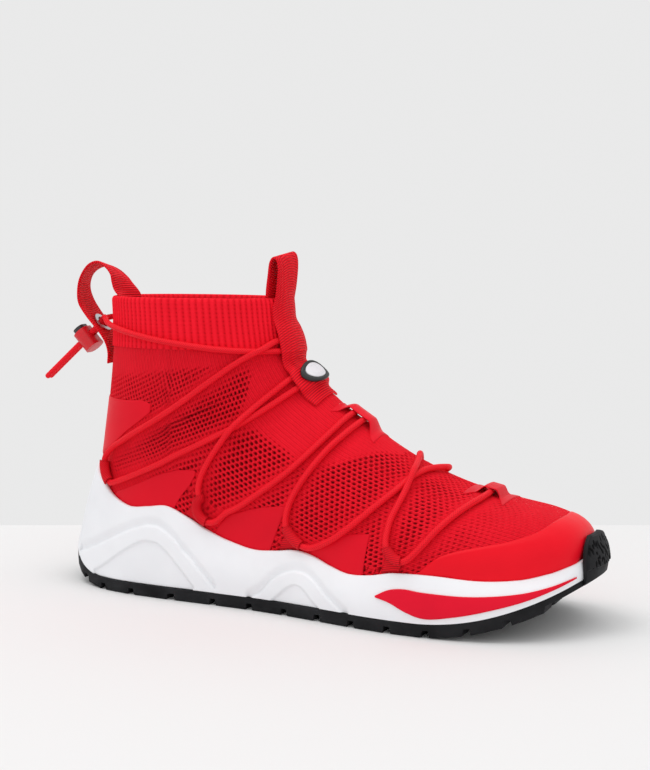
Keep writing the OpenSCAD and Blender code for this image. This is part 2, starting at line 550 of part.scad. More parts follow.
// Round rubber badge on the webbing, with an inlaid face
BADGE_U = 11.85;
BADGE_Y = -3;
module badge_disc(n_low, n_high, r_low, r_high) {
    n0 = TAB_OVER - 0.3 + webbing_t / 2;
    ridge = norm(skin(BADGE_U + 0.5, 0) - skin(BADGE_U - 0.5, 0));
    function rim(r, n) = [for (d = steps(0, 345, 23))
        tab_point(BADGE_U + r * cos(d) / ridge, n0 + n, BADGE_Y + r * sin(d) / sy)];
    tube_solid([rim(r_low * 0.4, n_low), rim(r_low, n_low), rim(r_high, n_high), rim(r_high * 0.4, n_high)]);
}
module badge() {
    color("black") badge_disc(0.3, 1.6, 7, 6.6);
}
module badge_inlay() {
    color("white") badge_disc(1.7, 2.0, 4.9, 4.7);
}

// ---- rear pull tab and grommet -----------------------------------------------------
// The same six numbers for the rear webbing, from the end sewn inside the cuff to the heel
TAB_REAR = [
    [24, 146, 2.3, 0, 0, 0], [24, 153, 2.3, 0, 0, 0], [23.6, 158, 1.9, 4, 0, 0], [22.2, 161.5, 0.8, 10, 0, -1],
    [20.4, 165.5, 0, 3, 0, -1.3], [17.9, 169.9, 0, -5, 0, -2.2], [13.1, 174, 0, -11, 0, -2.5],
    [6.8, 176.2, 0, -16, 0, -2.6], [0.8, 174.3, 0, -16, 0, -1.8], [-3.9, 169, 0, -15, 0, 0.7],
    [-5.6, 162, 0, -14, 0, 1.5], [-4, 154.8, 0, -9, 0, 1.5], [1.26, 147.47, 0, -6, 0, 0],
    [5.9, 142.5, 0, -6, 0, 0], [10.54, 137.53, 0, -6, 0, 0], [13.8, 132.4, 0.5, -4, 0, 0],
    [15, 127, 1.3, -2, 0, 0], [14.6, 121, 1.8, 0, 0, 0]
];
module rear_pull_tab() {
    rows = [for (i = steps(0, len(TAB_REAR) - 1, 32)) webbing_row(row_at(TAB_REAR, i))];
    color("red") difference() {
        sheet(rows, webbing_t);
        translate(grommet_at) rotate([0, -grommet_pitch, grommet_yaw]) rotate([0, 90, 0])
            cylinder(r = grommet_r + 0.75, h = 8, center = true, $fn = 48);
    }
}
grommet_r = 3.7;
module rear_grommet() {
    flange = webbing_t / 2 + 0.15;
    color("silver") translate(grommet_at) rotate([0, -grommet_pitch, grommet_yaw]) rotate([0, 90, 0])
        rotate_extrude($fn = 64) {
            translate([grommet_r, -flange - 0.9]) square([0.6, 2 * flange + 1.8]);
            for (z = [-flange - 0.9, flange])
                translate([grommet_r, z]) square([2.2, 0.9]);
        }
}

// ---- cord lock -----------------------------------------------------------------------
barrel_low = -7;
barrel_high = 4.8;
barrel_wall = 1.3;
press_fit_gap = 0.08;
slot_r = lace_r + 0.25;
module lock_frame() {
    translate(from_grommet([-lock_place, 0, 0])) rotate([0, -grommet_pitch, grommet_yaw]) children();
}
// Oval with straight sides, long enough across the lace for two strands
module oval(width) {
    for (y = [-tail_pitch, tail_pitch])
        translate([0, y]) circle(d = width, $fn = 64);
    square([width, 2 * tail_pitch], center = true);
}
// Way through for the two lace strands, tall enough for the button's travel
module lace_slot(extra) {
    reach = 2 * barrel_w;
    for (y = [-tail_pitch, tail_pitch])
        translate([0, y, 0]) rotate([0, 90, 0]) cylinder(r = slot_r, h = reach, center = true, $fn = 48);
    translate([-reach / 2, -tail_pitch, -slot_r]) cube([reach, 2 * tail_pitch, 2 * slot_r]);
    if (extra > 0)
        translate([-reach / 2, -tail_pitch - slot_r, 0]) cube([reach, 2 * (tail_pitch + slot_r), slot_r + extra]);
}
module cord_lock_barrel() {
    color("crimson") lock_frame() difference() {
        translate([0, 0, barrel_low]) linear_extrude(barrel_high - barrel_low) oval(barrel_w);
        translate([0, 0, barrel_low + 1]) linear_extrude(20) oval(barrel_w - 2 * barrel_wall);
        lace_slot(0);
    }
}
button_low = -slot_r - 1;
button_high = 7.2;
module cord_lock_button() {
    color("dimgray") lock_frame() difference() {
        translate([0, 0, button_low]) linear_extrude(button_high - button_low)
            oval(barrel_w - 2 * barrel_wall - 2 * press_fit_gap);
        lace_slot(press_travel);
    }
}
module cord_lock_spring() {
    turns = 3;
    wire = 0.5;
    coil_r = 2.4;
    low = barrel_low + 1 + wire / 2 + 0.05;
    high = button_low - wire / 2 - 0.05;
    color("silver") lock_frame() tube_solid(cord_rings([for (i = [0 : 12 * turns])
        [coil_r * cos(i * 30), coil_r * sin(i * 30), mix(low, high, i / (12 * turns))]], wire / 2, 5));
}

// ---- outsole ---------------------------------------------------------------------------
// Lug rows between these x, heel to toe, with a groove after each
LUG_ROWS = [[-2, 12], [15, 27], [30, 47], [50, 72], [76, 98], [101, 120], [123, 141], [144, 161], [164, 181],
    [184, 201], [204, 221], [224, 241], [244, 259], [262, 276]];
LUG_COLS = [[0, 0.2], [0.25, 0.46], [0.54, 0.75], [0.8, 1]];
// Sole row number at x (in the tables' own units)
function sole_row(x, lo = 0, hi = HEEL_ROW, n = 14) =
    n == 0 ? (lo + hi) / 2
    : row_at(SOLE, (lo + hi) / 2)[1] > x
        ? sole_row(x, (lo + hi) / 2, hi, n - 1)
        : sole_row(x, lo, (lo + hi) / 2, n - 1);
DRAFT_X = 0.6;
DRAFT_F = 0.012;
tread_f = concat([for (c = LUG_COLS) each
    c[0] == 0 ? [0, c[1] - DRAFT_F, c[1]]
    : c[1] == 1 ? [c[0], c[0] + DRAFT_F, 1]
    : [c[0], c[0] + DRAFT_F, c[1] - DRAFT_F, c[1]]]);
tread_lug = [for (c = LUG_COLS) each
    c[0] == 0 ? [1, 1, 0]
    : c[1] == 1 ? [0, 1, 1]
    : [0, 1, 1, 0]];
// Ring of the rubber across the sole at x; lug is 1 under a lug row and 0 in a groove
function tread_ring(x, lug) =
    let (r = row_at(SOLE, sole_row(x)), last = len(tread_f) - 1)
    concat(
        [for (f = tread_f) place([x, mix(r[2], r[3], f), rise(x)]) + [0, 0, sole_t]],
        [for (i = [last : -1 : 0])
            place([x, mix(r[2], r[3], tread_f[i]), rise(x)]) + [0, 0, lug_h * (1 - lug * tread_lug[i])]]);
// Toe bumper rows [z, lateral y, medial y, x at the middle]
BUMPER = [[31, -14.5, 22.5, 292.7], [35, -14.2, 22.2, 292.2], [38.5, -12.8, 20.8, 291.4], [41.5, -10.5, 18.5, 290.2],
    [44.2, -7.5, 15.5, 289.2], [46.3, -4, 12, 288.4]];
BUMPER_T = 2.3;
function toe_x(y, middle) = middle - pow(y - 5, 2) / 92;
function bumper_ring(r) =
    let (pts = [for (f = tread_f) let (y = mix(r[1], r[2], f)) [toe_x(y, r[3]), y, r[0]]])
    concat([for (p = pts) place(p)],
        [for (p = reverse(pts)) place(p + unit([1, (p[1] - 5) / 46, 0]) * BUMPER_T)]);
function corner_ring() =
    let (pts = [for (f = tread_f) let (y = mix(-14, 22, f), x = toe_x(y, 292.7)) [x, y, rise(x)]])
    concat([for (p = pts) place(p) + [0, 0, sole_t]],
        [for (p = reverse(pts)) place(p + unit([1, (p[1] - 5) / 46, 0]) * 1.5) + [0, 0, lug_h + 1]]);
module outsole() {
    lug_rings = [for (r = LUG_ROWS)
        let (curved = r[0] < 12 || r[0] > 215)
        each concat(
            [tread_ring(r[0], 0), tread_ring(r[0] + DRAFT_X, 1)],
            curved ? [for (f = r[0] < 12 ? [0.3, 0.65] : [0.5]) tread_ring(mix(r[0], r[1], f), 1)] : [],
            [tread_ring(r[1] - DRAFT_X, 1), tread_ring(r[1], 0)])];
    color("black") union() {
        folded_solid(concat(
            [for (x = [-6.98, -6.2, -4.5]) tread_ring(x, 0)],
            lug_rings,
            [for (x = [282, 288.5]) tread_ring(x, 0)],
            [corner_ring()],
            [for (r = BUMPER) bumper_ring(r)]));
        // Flex rib along the middle of the tread
        linear_extrude(lug_h + 0.5) offset(2) square([26, 1], center = true);
    }
}

// ---- inlaid side panels -------------------------------------------------------------------
// Sole row, upper and lower place on the foam wall
PANEL = [
    [5.84, 0.42, 0.46], [5.6, 0.31, 0.58], [5.3, 0.27, 0.77], [4.95, 0.31, 0.88], [4.4, 0.34, 0.84],
    [3.7, 0.36, 0.78], [3.0, 0.42, 0.76], [2.3, 0.49, 0.73], [1.7, 0.54, 0.70], [1.3, 0.58, 0.67]
];
module side_panel(side) {
    color("crimson") sheet([for (i = steps(0, len(PANEL) - 1, 22))
        let (r = row_at(PANEL, i))
        [for (t = steps(r[1], r[2], 4)) wall(r[0], side, t, 0.2 + panel_t / 2)]], panel_t);
}

// ---- the assembly -----------------------------------------------------------------------
outsole();
midsole();
side_panel(1);  // side_panel_lateral
side_panel(-1);  // side_panel_medial
lasting_board();
insole();
heel_counter();
toe_puff();
knit_upper();
rib_cuff();
toe_guard();
heel_film();
side_film(1, 1);  // side_film_lateral_1
side_film(2, 1);  // side_film_lateral_2
side_film(3, 1);  // side_film_lateral_3
side_film(1, -1);  // side_film_medial_1
side_film(2, -1);  // side_film_medial_2
side_film(3, -1);  // side_film_medial_3
lace_loop(1, 1);  // lace_loop_lateral_1
lace_loop(2, 1);  // lace_loop_lateral_2
lace_loop(3, 1);  // lace_loop_lateral_3
lace_loop(4, 1);  // lace_loop_lateral_4
lace_loop(1, -1);  // lace_loop_medial_1
lace_loop(2, -1);  // lace_loop_medial_2
lace_loop(3, -1);  // lace_loop_medial_3
lace_loop(4, -1);  // lace_loop_medial_4
throat_guide_rear();
throat_guide_front();
front_pull_tab();
badge();
badge_inlay();
rear_pull_tab();
rear_grommet();
lace();
lace_tail(1);  // lace_tail_lateral
lace_tail(-1);  // lace_tail_medial
cord_lock_barrel();
cord_lock_button();
cord_lock_spring();
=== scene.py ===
"""Looks of a knitted high top trainer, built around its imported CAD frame.

Lengths in the tables and helpers are millimetres in the shoe's own frame; meshes are made in metres.
u counts rings of the lasted surface from the toe tip to the collar, and a is the angle round a ring.
"""

import math

import bmesh
import bpy
import numpy as np
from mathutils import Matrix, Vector
from mathutils.kdtree import KDTree


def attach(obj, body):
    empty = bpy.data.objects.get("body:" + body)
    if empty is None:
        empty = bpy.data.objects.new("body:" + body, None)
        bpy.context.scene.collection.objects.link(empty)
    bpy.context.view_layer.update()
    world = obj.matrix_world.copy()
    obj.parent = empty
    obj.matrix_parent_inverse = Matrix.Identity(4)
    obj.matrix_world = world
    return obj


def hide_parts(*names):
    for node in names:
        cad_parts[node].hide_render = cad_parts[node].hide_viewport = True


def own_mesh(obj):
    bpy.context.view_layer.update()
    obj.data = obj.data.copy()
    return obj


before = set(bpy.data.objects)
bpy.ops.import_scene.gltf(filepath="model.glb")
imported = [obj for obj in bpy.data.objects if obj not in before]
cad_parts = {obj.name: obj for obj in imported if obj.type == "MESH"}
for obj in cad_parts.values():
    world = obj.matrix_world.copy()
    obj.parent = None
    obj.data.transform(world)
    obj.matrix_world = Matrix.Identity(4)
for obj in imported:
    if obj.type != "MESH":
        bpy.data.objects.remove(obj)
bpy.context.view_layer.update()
BODY = "shoe"
SIDES = ((1, "lateral"), (-1, "medial"))
MM = 0.001
ORIGIN_X = 143.0

# ---- camera ------------------------------------------------------------------
CAM_AZIMUTH = math.radians(25)
CAM_ELEVATION = math.radians(5.6)
CAM_DISTANCE = 0.75
CAM_TARGET = Vector((0.0022, 0, 0.1134))
CAM_LENS = 66.7


def linked(name, data):
    """A new object in the scene."""
    obj = bpy.data.objects.new(name, data)
    bpy.context.scene.collection.objects.link(obj)
    return obj


def make_camera():
    """View from the lateral side, a little ahead of the ankle and slightly above."""
    cam = linked("camera", bpy.data.cameras.new("camera"))
    flat = math.cos(CAM_ELEVATION)
    back = Vector((math.sin(CAM_AZIMUTH) * flat, -math.cos(CAM_AZIMUTH) * flat, math.sin(CAM_ELEVATION)))
    cam.location = CAM_TARGET + back * CAM_DISTANCE
    cam.rotation_euler = (-back).to_track_quat("-Z", "Y").to_euler()
    cam.data.lens = CAM_LENS
    bpy.context.scene.camera = cam


make_camera()

# ---- the lasted surface --------------------------------------------------------
# front x z, back x z, centre y, lateral and medial half width, height of the widest point,
# squareness below and above it
SKIN = np.array([
    [287.5, 39, 287.5, 35, 5, 4, 4, 0.50, 2.0, 2.0],
    [286, 45.5, 285, 30, 5, 17, 15, 0.45, 2.6, 2.2],
    [280, 51.5, 277, 25, 5, 29, 25, 0.40, 3.2, 2.3],
    [267, 56.5, 262, 20, 4, 39, 33, 0.38, 4.0, 2.3],
    [246, 60.5, 241, 15.5, 3, 45.5, 39, 0.35, 5.0, 2.2],
    [221, 67, 216, 13, 2, 48.5, 42, 0.30, 5.0, 2.0],
    [196, 78, 188, 13, 1, 46.5, 41, 0.26, 5.0, 1.85],
    [175, 91, 158, 14, 0, 40.5, 38, 0.24, 5.0, 1.8],
    [158.5, 101.5, 126, 16, 0, 36, 35, 0.26, 5.0, 1.85],
    [149, 109, 92, 19, 0, 34, 33, 0.30, 4.5, 1.9],
    [144.2, 112.5, 60, 22, 0, 33, 32, 0.36, 4.0, 1.95],
    [140.8, 115.5, 33, 25, 0, 32.5, 32, 0.42, 3.2, 2.0],
    [137.5, 118, 15, 34, 0, 32.5, 32, 0.46, 2.6, 2.05],
    [134.6, 120.5, 9.5, 54, 0, 32, 31.5, 0.48, 2.3, 2.1],
    [131.8, 123.5, 12.5, 80, 0, 32, 31.5, 0.48, 2.2, 2.1],
    [129.1, 127, 16.5, 106, 0, 32, 31.5, 0.48, 2.2, 2.1],
    [126.6, 131.5, 19, 131, 0, 31.5, 31.5, 0.48, 2.2, 2.1],
    [124.1, 145.5, 19.5, 145.5, 0, 31, 31, 0.48, 2.2, 2.1],
    [122.7, 159, 19, 159, 0, 31, 31, 0.48, 2.2, 2.1],
])
U_CUFF = 16.1
U_RIM = 18.0
KNIT_T = 1.8
RIB_T = 3.2
FILM_T = 0.6
GUARD_T = 0.9
GAP = 0.3
LIP_W = 2.4
LACE_D = 3.2
LACE_R = LACE_D / 2
LOOP_T = 0.8
WEBBING_W = 20.0
WEBBING_T = 1.3
STITCH = 1.5
GROMMET_R = 3.7
PANEL_T = 0.8


def row_at(rows, u):
    """Smooth curve through a table's rows at fractional row numbers u (any shape)."""
    rows = np.asarray(rows, float)
    u = np.asarray(u, float)
    last = len(rows) - 1
    i = np.clip(np.floor(u).astype(int), 0, last - 1)
    t = (u - i)[..., None] if rows.ndim > 1 else u - i
    b, c = rows[i], rows[i + 1]
    padded = np.concatenate([[2 * rows[0] - rows[1]], rows, [2 * rows[last] - rows[last - 1]]])
    a, d = padded[i], padded[i + 3]
    return 0.5 * (2 * b + (c - a) * t + (2 * a - 5 * b + 4 * c - d) * t**2 + (3 * b - a - 3 * c + d) * t**3)


def rows_along(rows, count):
    """The curve through the whole of a table, at count even places."""
    return row_at(rows, np.linspace(0, len(rows) - 1, count))


def mix(a, b, f):
    return a + (b - a) * f


def between(g, i, j):
    """A grid's values at fractional rows i and columns j."""
    i0 = np.clip(np.asarray(i).astype(int), 0, g.shape[0] - 2)
    j0 = np.clip(np.asarray(j).astype(int), 0, g.shape[1] - 2)
    fi, fj = i - i0, j - j0
    return ((1 - fi) * (1 - fj) * g[i0, j0] + fi * (1 - fj) * g[i0 + 1, j0]
            + (1 - fi) * fj * g[i0, j0 + 1] + fi * fj * g[i0 + 1, j0 + 1])


def unit(v):
    return v / np.maximum(np.linalg.norm(v, axis=-1, keepdims=True), 1e-9)


def skin(u, a):
    """Points of the upper's outer face, in millimetres of the row frame."""
    u, a = np.broadcast_arrays(np.asarray(u, float), np.asarray(a, float))
    a = (a + 180) % 360 - 180
    r = row_at(SKIN, u)
    c, s = np.cos(np.radians(a)), np.sin(np.radians(np.abs(a)))
    n = np.where(c >= 0, r[..., 9], r[..., 8])
    q = np.sign(c) * np.abs(c) ** (2 / n)
    t = np.where(c >= 0, r[..., 7] + (1 - r[..., 7]) * q, r[..., 7] * (1 + q))
    y = r[..., 4] + np.where(a >= 0, -r[..., 5], r[..., 6]) * np.abs(s) ** (2 / n)
    x = r[..., 2] + (r[..., 0] - r[..., 2]) * t - ORIGIN_X
    return np.stack([x, y, r[..., 3] + (r[..., 1] - r[..., 3]) * t], -1)


def skin_normal(u, a):
    u, a = np.broadcast_arrays(np.asarray(u, float), np.asarray(a, float))
    along = skin(np.minimum(u + 0.03, U_RIM), a) - skin(np.maximum(u - 0.03, 0), a)
    return unit(np.cross(along, skin(u, a + 1.5) - skin(u, a - 1.5)))


def over(u, a, n):
    """The points at height n over the upper."""
    u, a, n = np.broadcast_arrays(np.asarray(u, float), np.asarray(a, float), np.asarray(n, float))
    return skin(u, a) + skin_normal(u, a) * n[..., None]


def eased_outline(pts, x):
    """Height of an outline [[x, z], ...] at x, eased between its points."""
    pts = np.asarray(pts, float)
    i = np.clip(np.searchsorted(pts[:, 0], x) - 1, 0, len(pts) - 2)
    t = np.clip((x - pts[i, 0]) / (pts[i + 1, 0] - pts[i, 0]), 0, 1)
    return row_at(pts[:, 1], i + t * 0.999999)


# Feather line, where the foam lip meets the upper, seen from the side
FEATHER = [
    [9, 66.5], [14, 62], [23, 56.5], [33, 49.5], [44, 45.6], [56, 46.6], [68, 47.8], [80, 43.5],
    [92, 38], [104, 33.5], [121, 29.8], [134, 30.4], [148, 32.2], [158, 30.6], [168, 27],
    [179, 24.4], [191, 25.2], [204, 27.8], [223, 28.2], [246, 26.8], [264, 27.8], [276, 30.5],
    [284, 33.5], [289, 37],
]


def feather_angle(u, side, lift=0.0):
    """Angle at which ring u crosses the feather line, raised by lift."""
    u = np.asarray(u, float)
    lo, hi = np.full(u.shape, 4.0), np.full(u.shape, 179.9)
    for _ in range(18):
        mid = (lo + hi) / 2
        p = skin(u, side * mid)
        above = p[..., 2] - eased_outline(FEATHER, p[..., 0] + ORIGIN_X) > lift
        lo, hi = np.where(above, mid, lo), np.where(above, hi, mid)
    return side * (lo + hi) / 2


def smooth_step(x, lo, hi):
    t = np.clip((x - lo) / (hi - lo), 0, 1)
    return t * t * (3 - 2 * t)


# ---- meshes from grids ----------------------------------------------------------
def grid_normals(g):
    du = np.gradient(g, axis=0)
    dv = np.gradient(g, axis=1)
    return unit(np.cross(du, dv))


def add_mesh(name, verts, faces, uvs=None, shade=None):
    """A mesh object from millimetre points. uvs and shade, a number for the material, are per vertex."""
    mesh = bpy.data.meshes.new(name)
    faces = faces if isinstance(faces, list) else faces.tolist()
    mesh.from_pydata((np.asarray(verts) * MM).tolist(), [], faces)
    mesh.polygons.foreach_set("use_smooth", np.ones(len(mesh.polygons), bool))
    if uvs is not None:
        layer = mesh.uv_layers.new(name="UVMap")
        corner = np.zeros(len(mesh.loops), int)
        mesh.loops.foreach_get("vertex_index", corner)
        layer.data.foreach_set("uv", np.asarray(uvs, np.float32).reshape(-1, 2)[corner].ravel())
    if shade is not None:
        values = np.asarray(shade, np.float32).ravel()
        mesh.attributes.new("shade", "FLOAT", "POINT").data.foreach_set("value", values)
    mesh.validate()
    mesh.update()
    return linked(name, mesh)


def grid_faces(n, m, start=0, wrap_cols=False, flip=False):
    i, j = np.arange(n - 1), np.arange(m if wrap_cols else m - 1)
    i, j = [k.ravel() for k in np.meshgrid(i, j, indexing="ij")]
    i2, j2 = i + 1, (j + 1) % m
    f = np.stack([i * m + j, i2 * m + j, i2 * m + j2, i * m + j2], -1) + start
    return f[:, ::-1] if flip else f


def lengths_along(g):
    """Millimetres along the rows and the columns of a grid."""
    du = np.linalg.norm(np.diff(g, axis=0), axis=-1)
    dv = np.linalg.norm(np.diff(g, axis=1), axis=-1)
    s = np.vstack([np.zeros((1, g.shape[1])), np.cumsum(du, 0)])
    t = np.hstack([np.zeros((g.shape[0], 1)), np.cumsum(dv, 1)])
    return s, t


def path_lengths(path):
    """Millimetres along a path to each of its points."""
    return np.concatenate([[0], np.cumsum(np.linalg.norm(np.diff(path, axis=0), axis=-1))])


def grid_object(name, g, uvs=None, shade=None, flip=False):
    """An open surface through a grid of points."""
    n, m = g.shape[:2]
    uvs = np.stack(lengths_along(g) if uvs is None else uvs, -1)
    return add_mesh(name, g.reshape(-1, 3), grid_faces(n, m, flip=flip), uvs, shade)


def soft_sheet(name, g, thick, bump=0.0, edge=0.35):
    """A sheet of even thickness about a grid, with rounded edges. bump is extra height on both faces."""
    n, m = g.shape[:2]
    s, t = lengths_along(g)
    to_edge = np.minimum(np.minimum(s, s[-1] - s), np.minimum(t, t[:, -1:] - t))
    inward = np.clip(to_edge / max(thick * edge, 1e-3), 0, 1)
    half = thick / 2 * (0.25 + 0.75 * np.sqrt(np.clip(1 - (1 - inward) ** 2, 0, 1))) + bump
    out = grid_normals(g) * half[..., None]
    verts = np.concatenate([(g + out).reshape(-1, 3), (g - out).reshape(-1, 3)])
    k = n * m
    rim = np.concatenate([np.arange(m), np.arange(1, n) * m + m - 1, (n - 1) * m + np.arange(m - 2, -1, -1),
                          np.arange(n - 2, 0, -1) * m])
    after = np.roll(rim, -1)
    side = np.stack([rim, after, after + k, rim + k], -1)
    faces = np.concatenate([grid_faces(n, m), grid_faces(n, m, k, flip=True), side])
    return add_mesh(name, verts, faces, np.tile(np.stack([s, t], -1).reshape(-1, 2), (2, 1)))


def tube_rings(path, radius, sides):
    """Rings round a path. radius is a number, or an array that has a row for each point of the path."""
    path = np.asarray(path, float)
    tangent = unit(np.gradient(path, axis=0))
    v = unit(np.cross(tangent[0], [0.1, 0.2, 1]))
    normals = []
    for way in tangent:
        v = unit(v - way * (v @ way))
        normals.append(v)
    v = np.array(normals)
    w = np.cross(tangent, v)
    ang = np.linspace(0, 2 * math.pi, sides, endpoint=False)
    ring = v[:, None] * np.cos(ang)[None, :, None] + w[:, None] * np.sin(ang)[None, :, None]
    return path[:, None] + ring * np.broadcast_to(np.asarray(radius, float), (len(path), sides))[..., None]


def tube_object(name, path, radius, sides):
    """A closed tube along a path, with flat or rounded ends as its radii say."""
    rings = tube_rings(path, radius, sides)
    n = len(rings)
    faces = grid_faces(n, sides, wrap_cols=True, flip=True).tolist()
    faces += [list(range(sides)), [(n - 1) * sides + j for j in reversed(range(sides))]]
    around = np.arange(sides)[None] * math.pi * LACE_D / sides
    uv = np.stack(np.broadcast_arrays(path_lengths(path)[:, None], around), -1)
    return add_mesh(name, rings.reshape(-1, 3), faces, uv)


def even_path(path, step):
    """The same path with points every step millimetres."""
    path = np.asarray(path, float)
    d = path_lengths(path)
    at = np.linspace(0, d[-1], max(int(d[-1] / step), 8))
    return np.stack([np.interp(at, d, path[:, k]) for k in range(3)], -1)


def stands_for(obj, material, slot, *nodes, body=BODY):
    """Gives a piece its material and body, and hides the CAD nodes that it stands for."""
    obj.data.materials.clear()
    obj.data.materials.append(material)
    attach(obj, body)
    if nodes:
        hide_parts(*nodes)
    return obj


# ---- materials --------------------------------------------------------------------
RED = (0.84, 0.004, 0.016)
DEEP_RED = (0.50, 0.002, 0.008)
BRIGHT_RED = (1.0, 0.010, 0.028)
RIB_PITCH = 1.35
BRAID_PITCH = 1.26


class Look:
    """A Principled material with small helpers for its procedural nodes."""

    def __init__(self, name, colour, rough, **sockets):
        self.mat = bpy.data.materials.new(name)
        self.mat.use_nodes = True
        self.nodes, self.links = self.mat.node_tree.nodes, self.mat.node_tree.links
        self.bsdf = self.nodes["Principled BSDF"].inputs
        self.bsdf["Base Color"].default_value = (*colour, 1)
        self.bsdf["Roughness"].default_value = rough
        self.bsdf["Sheen Tint"].default_value = (*colour, 1)
        for socket, value in sockets.items():
            self.bsdf[socket.replace("_", " ")].default_value = value
        self.coords = self.nodes.new("ShaderNodeTexCoord").outputs

    def node(self, kind, inputs, **values):
        """The outputs of a new node. Each of its inputs gets a plain value or another node's output."""
        n = self.nodes.new(kind)
        for key, value in values.items():
            setattr(n, key, value)
        for key, value in inputs.items():
            if isinstance(value, bpy.types.NodeSocket):
                self.links.new(value, n.inputs[key])
            else:
                n.inputs[key].default_value = value
        return n.outputs

    def math(self, operation, a, b=0.0):
        return self.node("ShaderNodeMath", {0: a, 1: b}, operation=operation)[0]

    def add(self, a, b):
        return self.math("ADD", a, b)

    def mul(self, a, b):
        return self.math("MULTIPLY", a, b)

    def axis(self, which):
        """Millimetres along (0) or across (1) the piece, from its UVs."""
        return self.node("ShaderNodeSeparateXYZ", {0: self.coords["UV"]})[which]

    def noise(self, scale, detail=3, stretch=(1, 1, 1)):
        place = self.node("ShaderNodeMapping", {0: self.coords["Object"], "Scale": stretch})[0]
        return self.node("ShaderNodeTexNoise", {"Vector": place, "Scale": scale, "Detail": detail})["Fac"]

    def lit(self):
        """1 less the mesh's own shade number, which is painted shade, so that hollows come out dark."""
        shade = self.node("ShaderNodeAttribute", {}, attribute_name="shade")["Fac"]
        return self.math("SUBTRACT", 1.0, shade)

    def colour(self, value, stops):
        ramp = self.nodes.new("ShaderNodeValToRGB")
        while len(ramp.color_ramp.elements) < len(stops):
            ramp.color_ramp.elements.new(0.5)
        for e, (place, colour) in zip(ramp.color_ramp.elements, stops):
            e.position = place
            e.color = (*colour, 1)
        self.links.new(value, ramp.inputs[0])
        self.links.new(ramp.outputs[0], self.bsdf["Base Color"])

    def rough(self, value, lo, hi):
        spread = self.node("ShaderNodeMapRange", {"Value": value, "To Min": lo, "To Max": hi})["Result"]
        self.links.new(spread, self.bsdf["Roughness"])

    def bump(self, height, strength, distance_mm):
        inputs = {"Strength": strength, "Distance": distance_mm * MM, "Height": height}
        self.links.new(self.node("ShaderNodeBump", inputs)[0], self.bsdf["Normal"])

    def wave(self, value, pitch_mm, phase=0.0):
        """0 to 1 and back once in each pitch."""
        turns = self.add(self.mul(value, 2 * math.pi / pitch_mm), phase)
        return self.mul(self.add(self.math("SINE", turns), 1.0), 0.5)


def scaled(colour, k):
    return tuple(min(c * k, 1) for c in colour)


def knit_look(name="knit_yarn", wale=1.05, course=0.8):
    """Knitted yarn: small V-shaped stitches, with painted shade in the holes and the raised parts of the
    stitches painted lighter.
    """
    k = Look(name, RED, 0.8, Specular_IOR_Level=0.12, Sheen_Weight=0.15, Sheen_Roughness=0.4)
    s, t = k.axis(0), k.axis(1)
    lean = k.mul(k.wave(t, wale), 0.55)
    stitch = k.wave(k.add(s, lean), course)
    rib = k.wave(t, wale)
    height = k.add(k.mul(stitch, 0.55), k.mul(rib, 0.6))
    height = k.add(height, k.mul(k.noise(900), 0.25))
    # Painted shade in the holes, from the mesh's shade number, times a random tone.
    tone = k.mul(k.lit(), k.add(0.72, k.mul(k.noise(70), 0.3)))
    column = k.wave(t, 2 * wale)
    tone = k.math("SUBTRACT", tone, k.mul(column, 0.14))
    # Raised parts of the stitches painted lighter: painted light that follows the bump height.
    tone = k.add(k.mul(tone, 0.8), k.mul(height, 0.32))
    # The near-black end of the ramp is the painted shade in the holes.
    k.colour(tone, [(0.0, scaled(DEEP_RED, 0.08)), (0.35, scaled(DEEP_RED, 0.6)),
                    (0.72, scaled(RED, 0.95)), (0.97, BRIGHT_RED)])
    k.bump(height, 0.8, 0.45)
    return k.mat


def rib_look():
    """Fine upright ribs of the folded cuff, with painted shade between the ribs and in the dots."""
    k = Look("rib_yarn", RED, 0.8, Specular_IOR_Level=0.12, Sheen_Weight=0.15, Sheen_Roughness=0.4)
    fine = k.add(k.wave(k.axis(0), 0.8), k.mul(k.noise(700), 0.4))
    # Painted shade from the cuff's shade number, times a random tone.
    tone = k.mul(k.lit(), k.add(0.75, k.mul(k.noise(60), 0.25)))
    k.colour(tone, [(0.0, scaled(DEEP_RED, 0.4)), (0.5, scaled(RED, 0.9)), (0.95, BRIGHT_RED)])
    k.bump(fine, 0.5, 0.2)
    return k.mat


def film_look(name, colour, rough):
    """Smooth bonded film over the knit, with a faint print of the stitches under it."""
    k = Look(name, colour, rough, Specular_IOR_Level=0.1)
    print_through = k.add(k.mul(k.wave(k.axis(1), 1.3), 0.5), k.noise(220))
    k.colour(k.noise(25), [(0.3, scaled(colour, 0.88)), (0.7, colour)])
    k.rough(k.noise(160), rough - 0.06, rough + 0.08)
    k.bump(print_through, 0.12, 0.15)
    return k.mat


def webbing_look(name, colour, pitch):
    """Grosgrain: fine ribs across the tape, made of many warp threads, with painted shade in the troughs of
    the ribs.
    """
    k = Look(name, colour, 0.66, Specular_IOR_Level=0.15, Sheen_Weight=0.12, Sheen_Roughness=0.35)
    warp = k.wave(k.axis(1), 0.42)
    rib = k.wave(k.axis(0), pitch, math.pi / 2)
    height = k.add(k.mul(warp, 0.12), rib)
    # Colour follows the ribs: painted shade in their troughs, with a random tone.
    k.colour(k.add(k.mul(rib, 0.75), k.mul(k.noise(90), 0.25)),
             [(0.1, scaled(colour, 0.5)), (0.75, colour)])
    k.bump(height, 0.6, 0.3)
    return k.mat


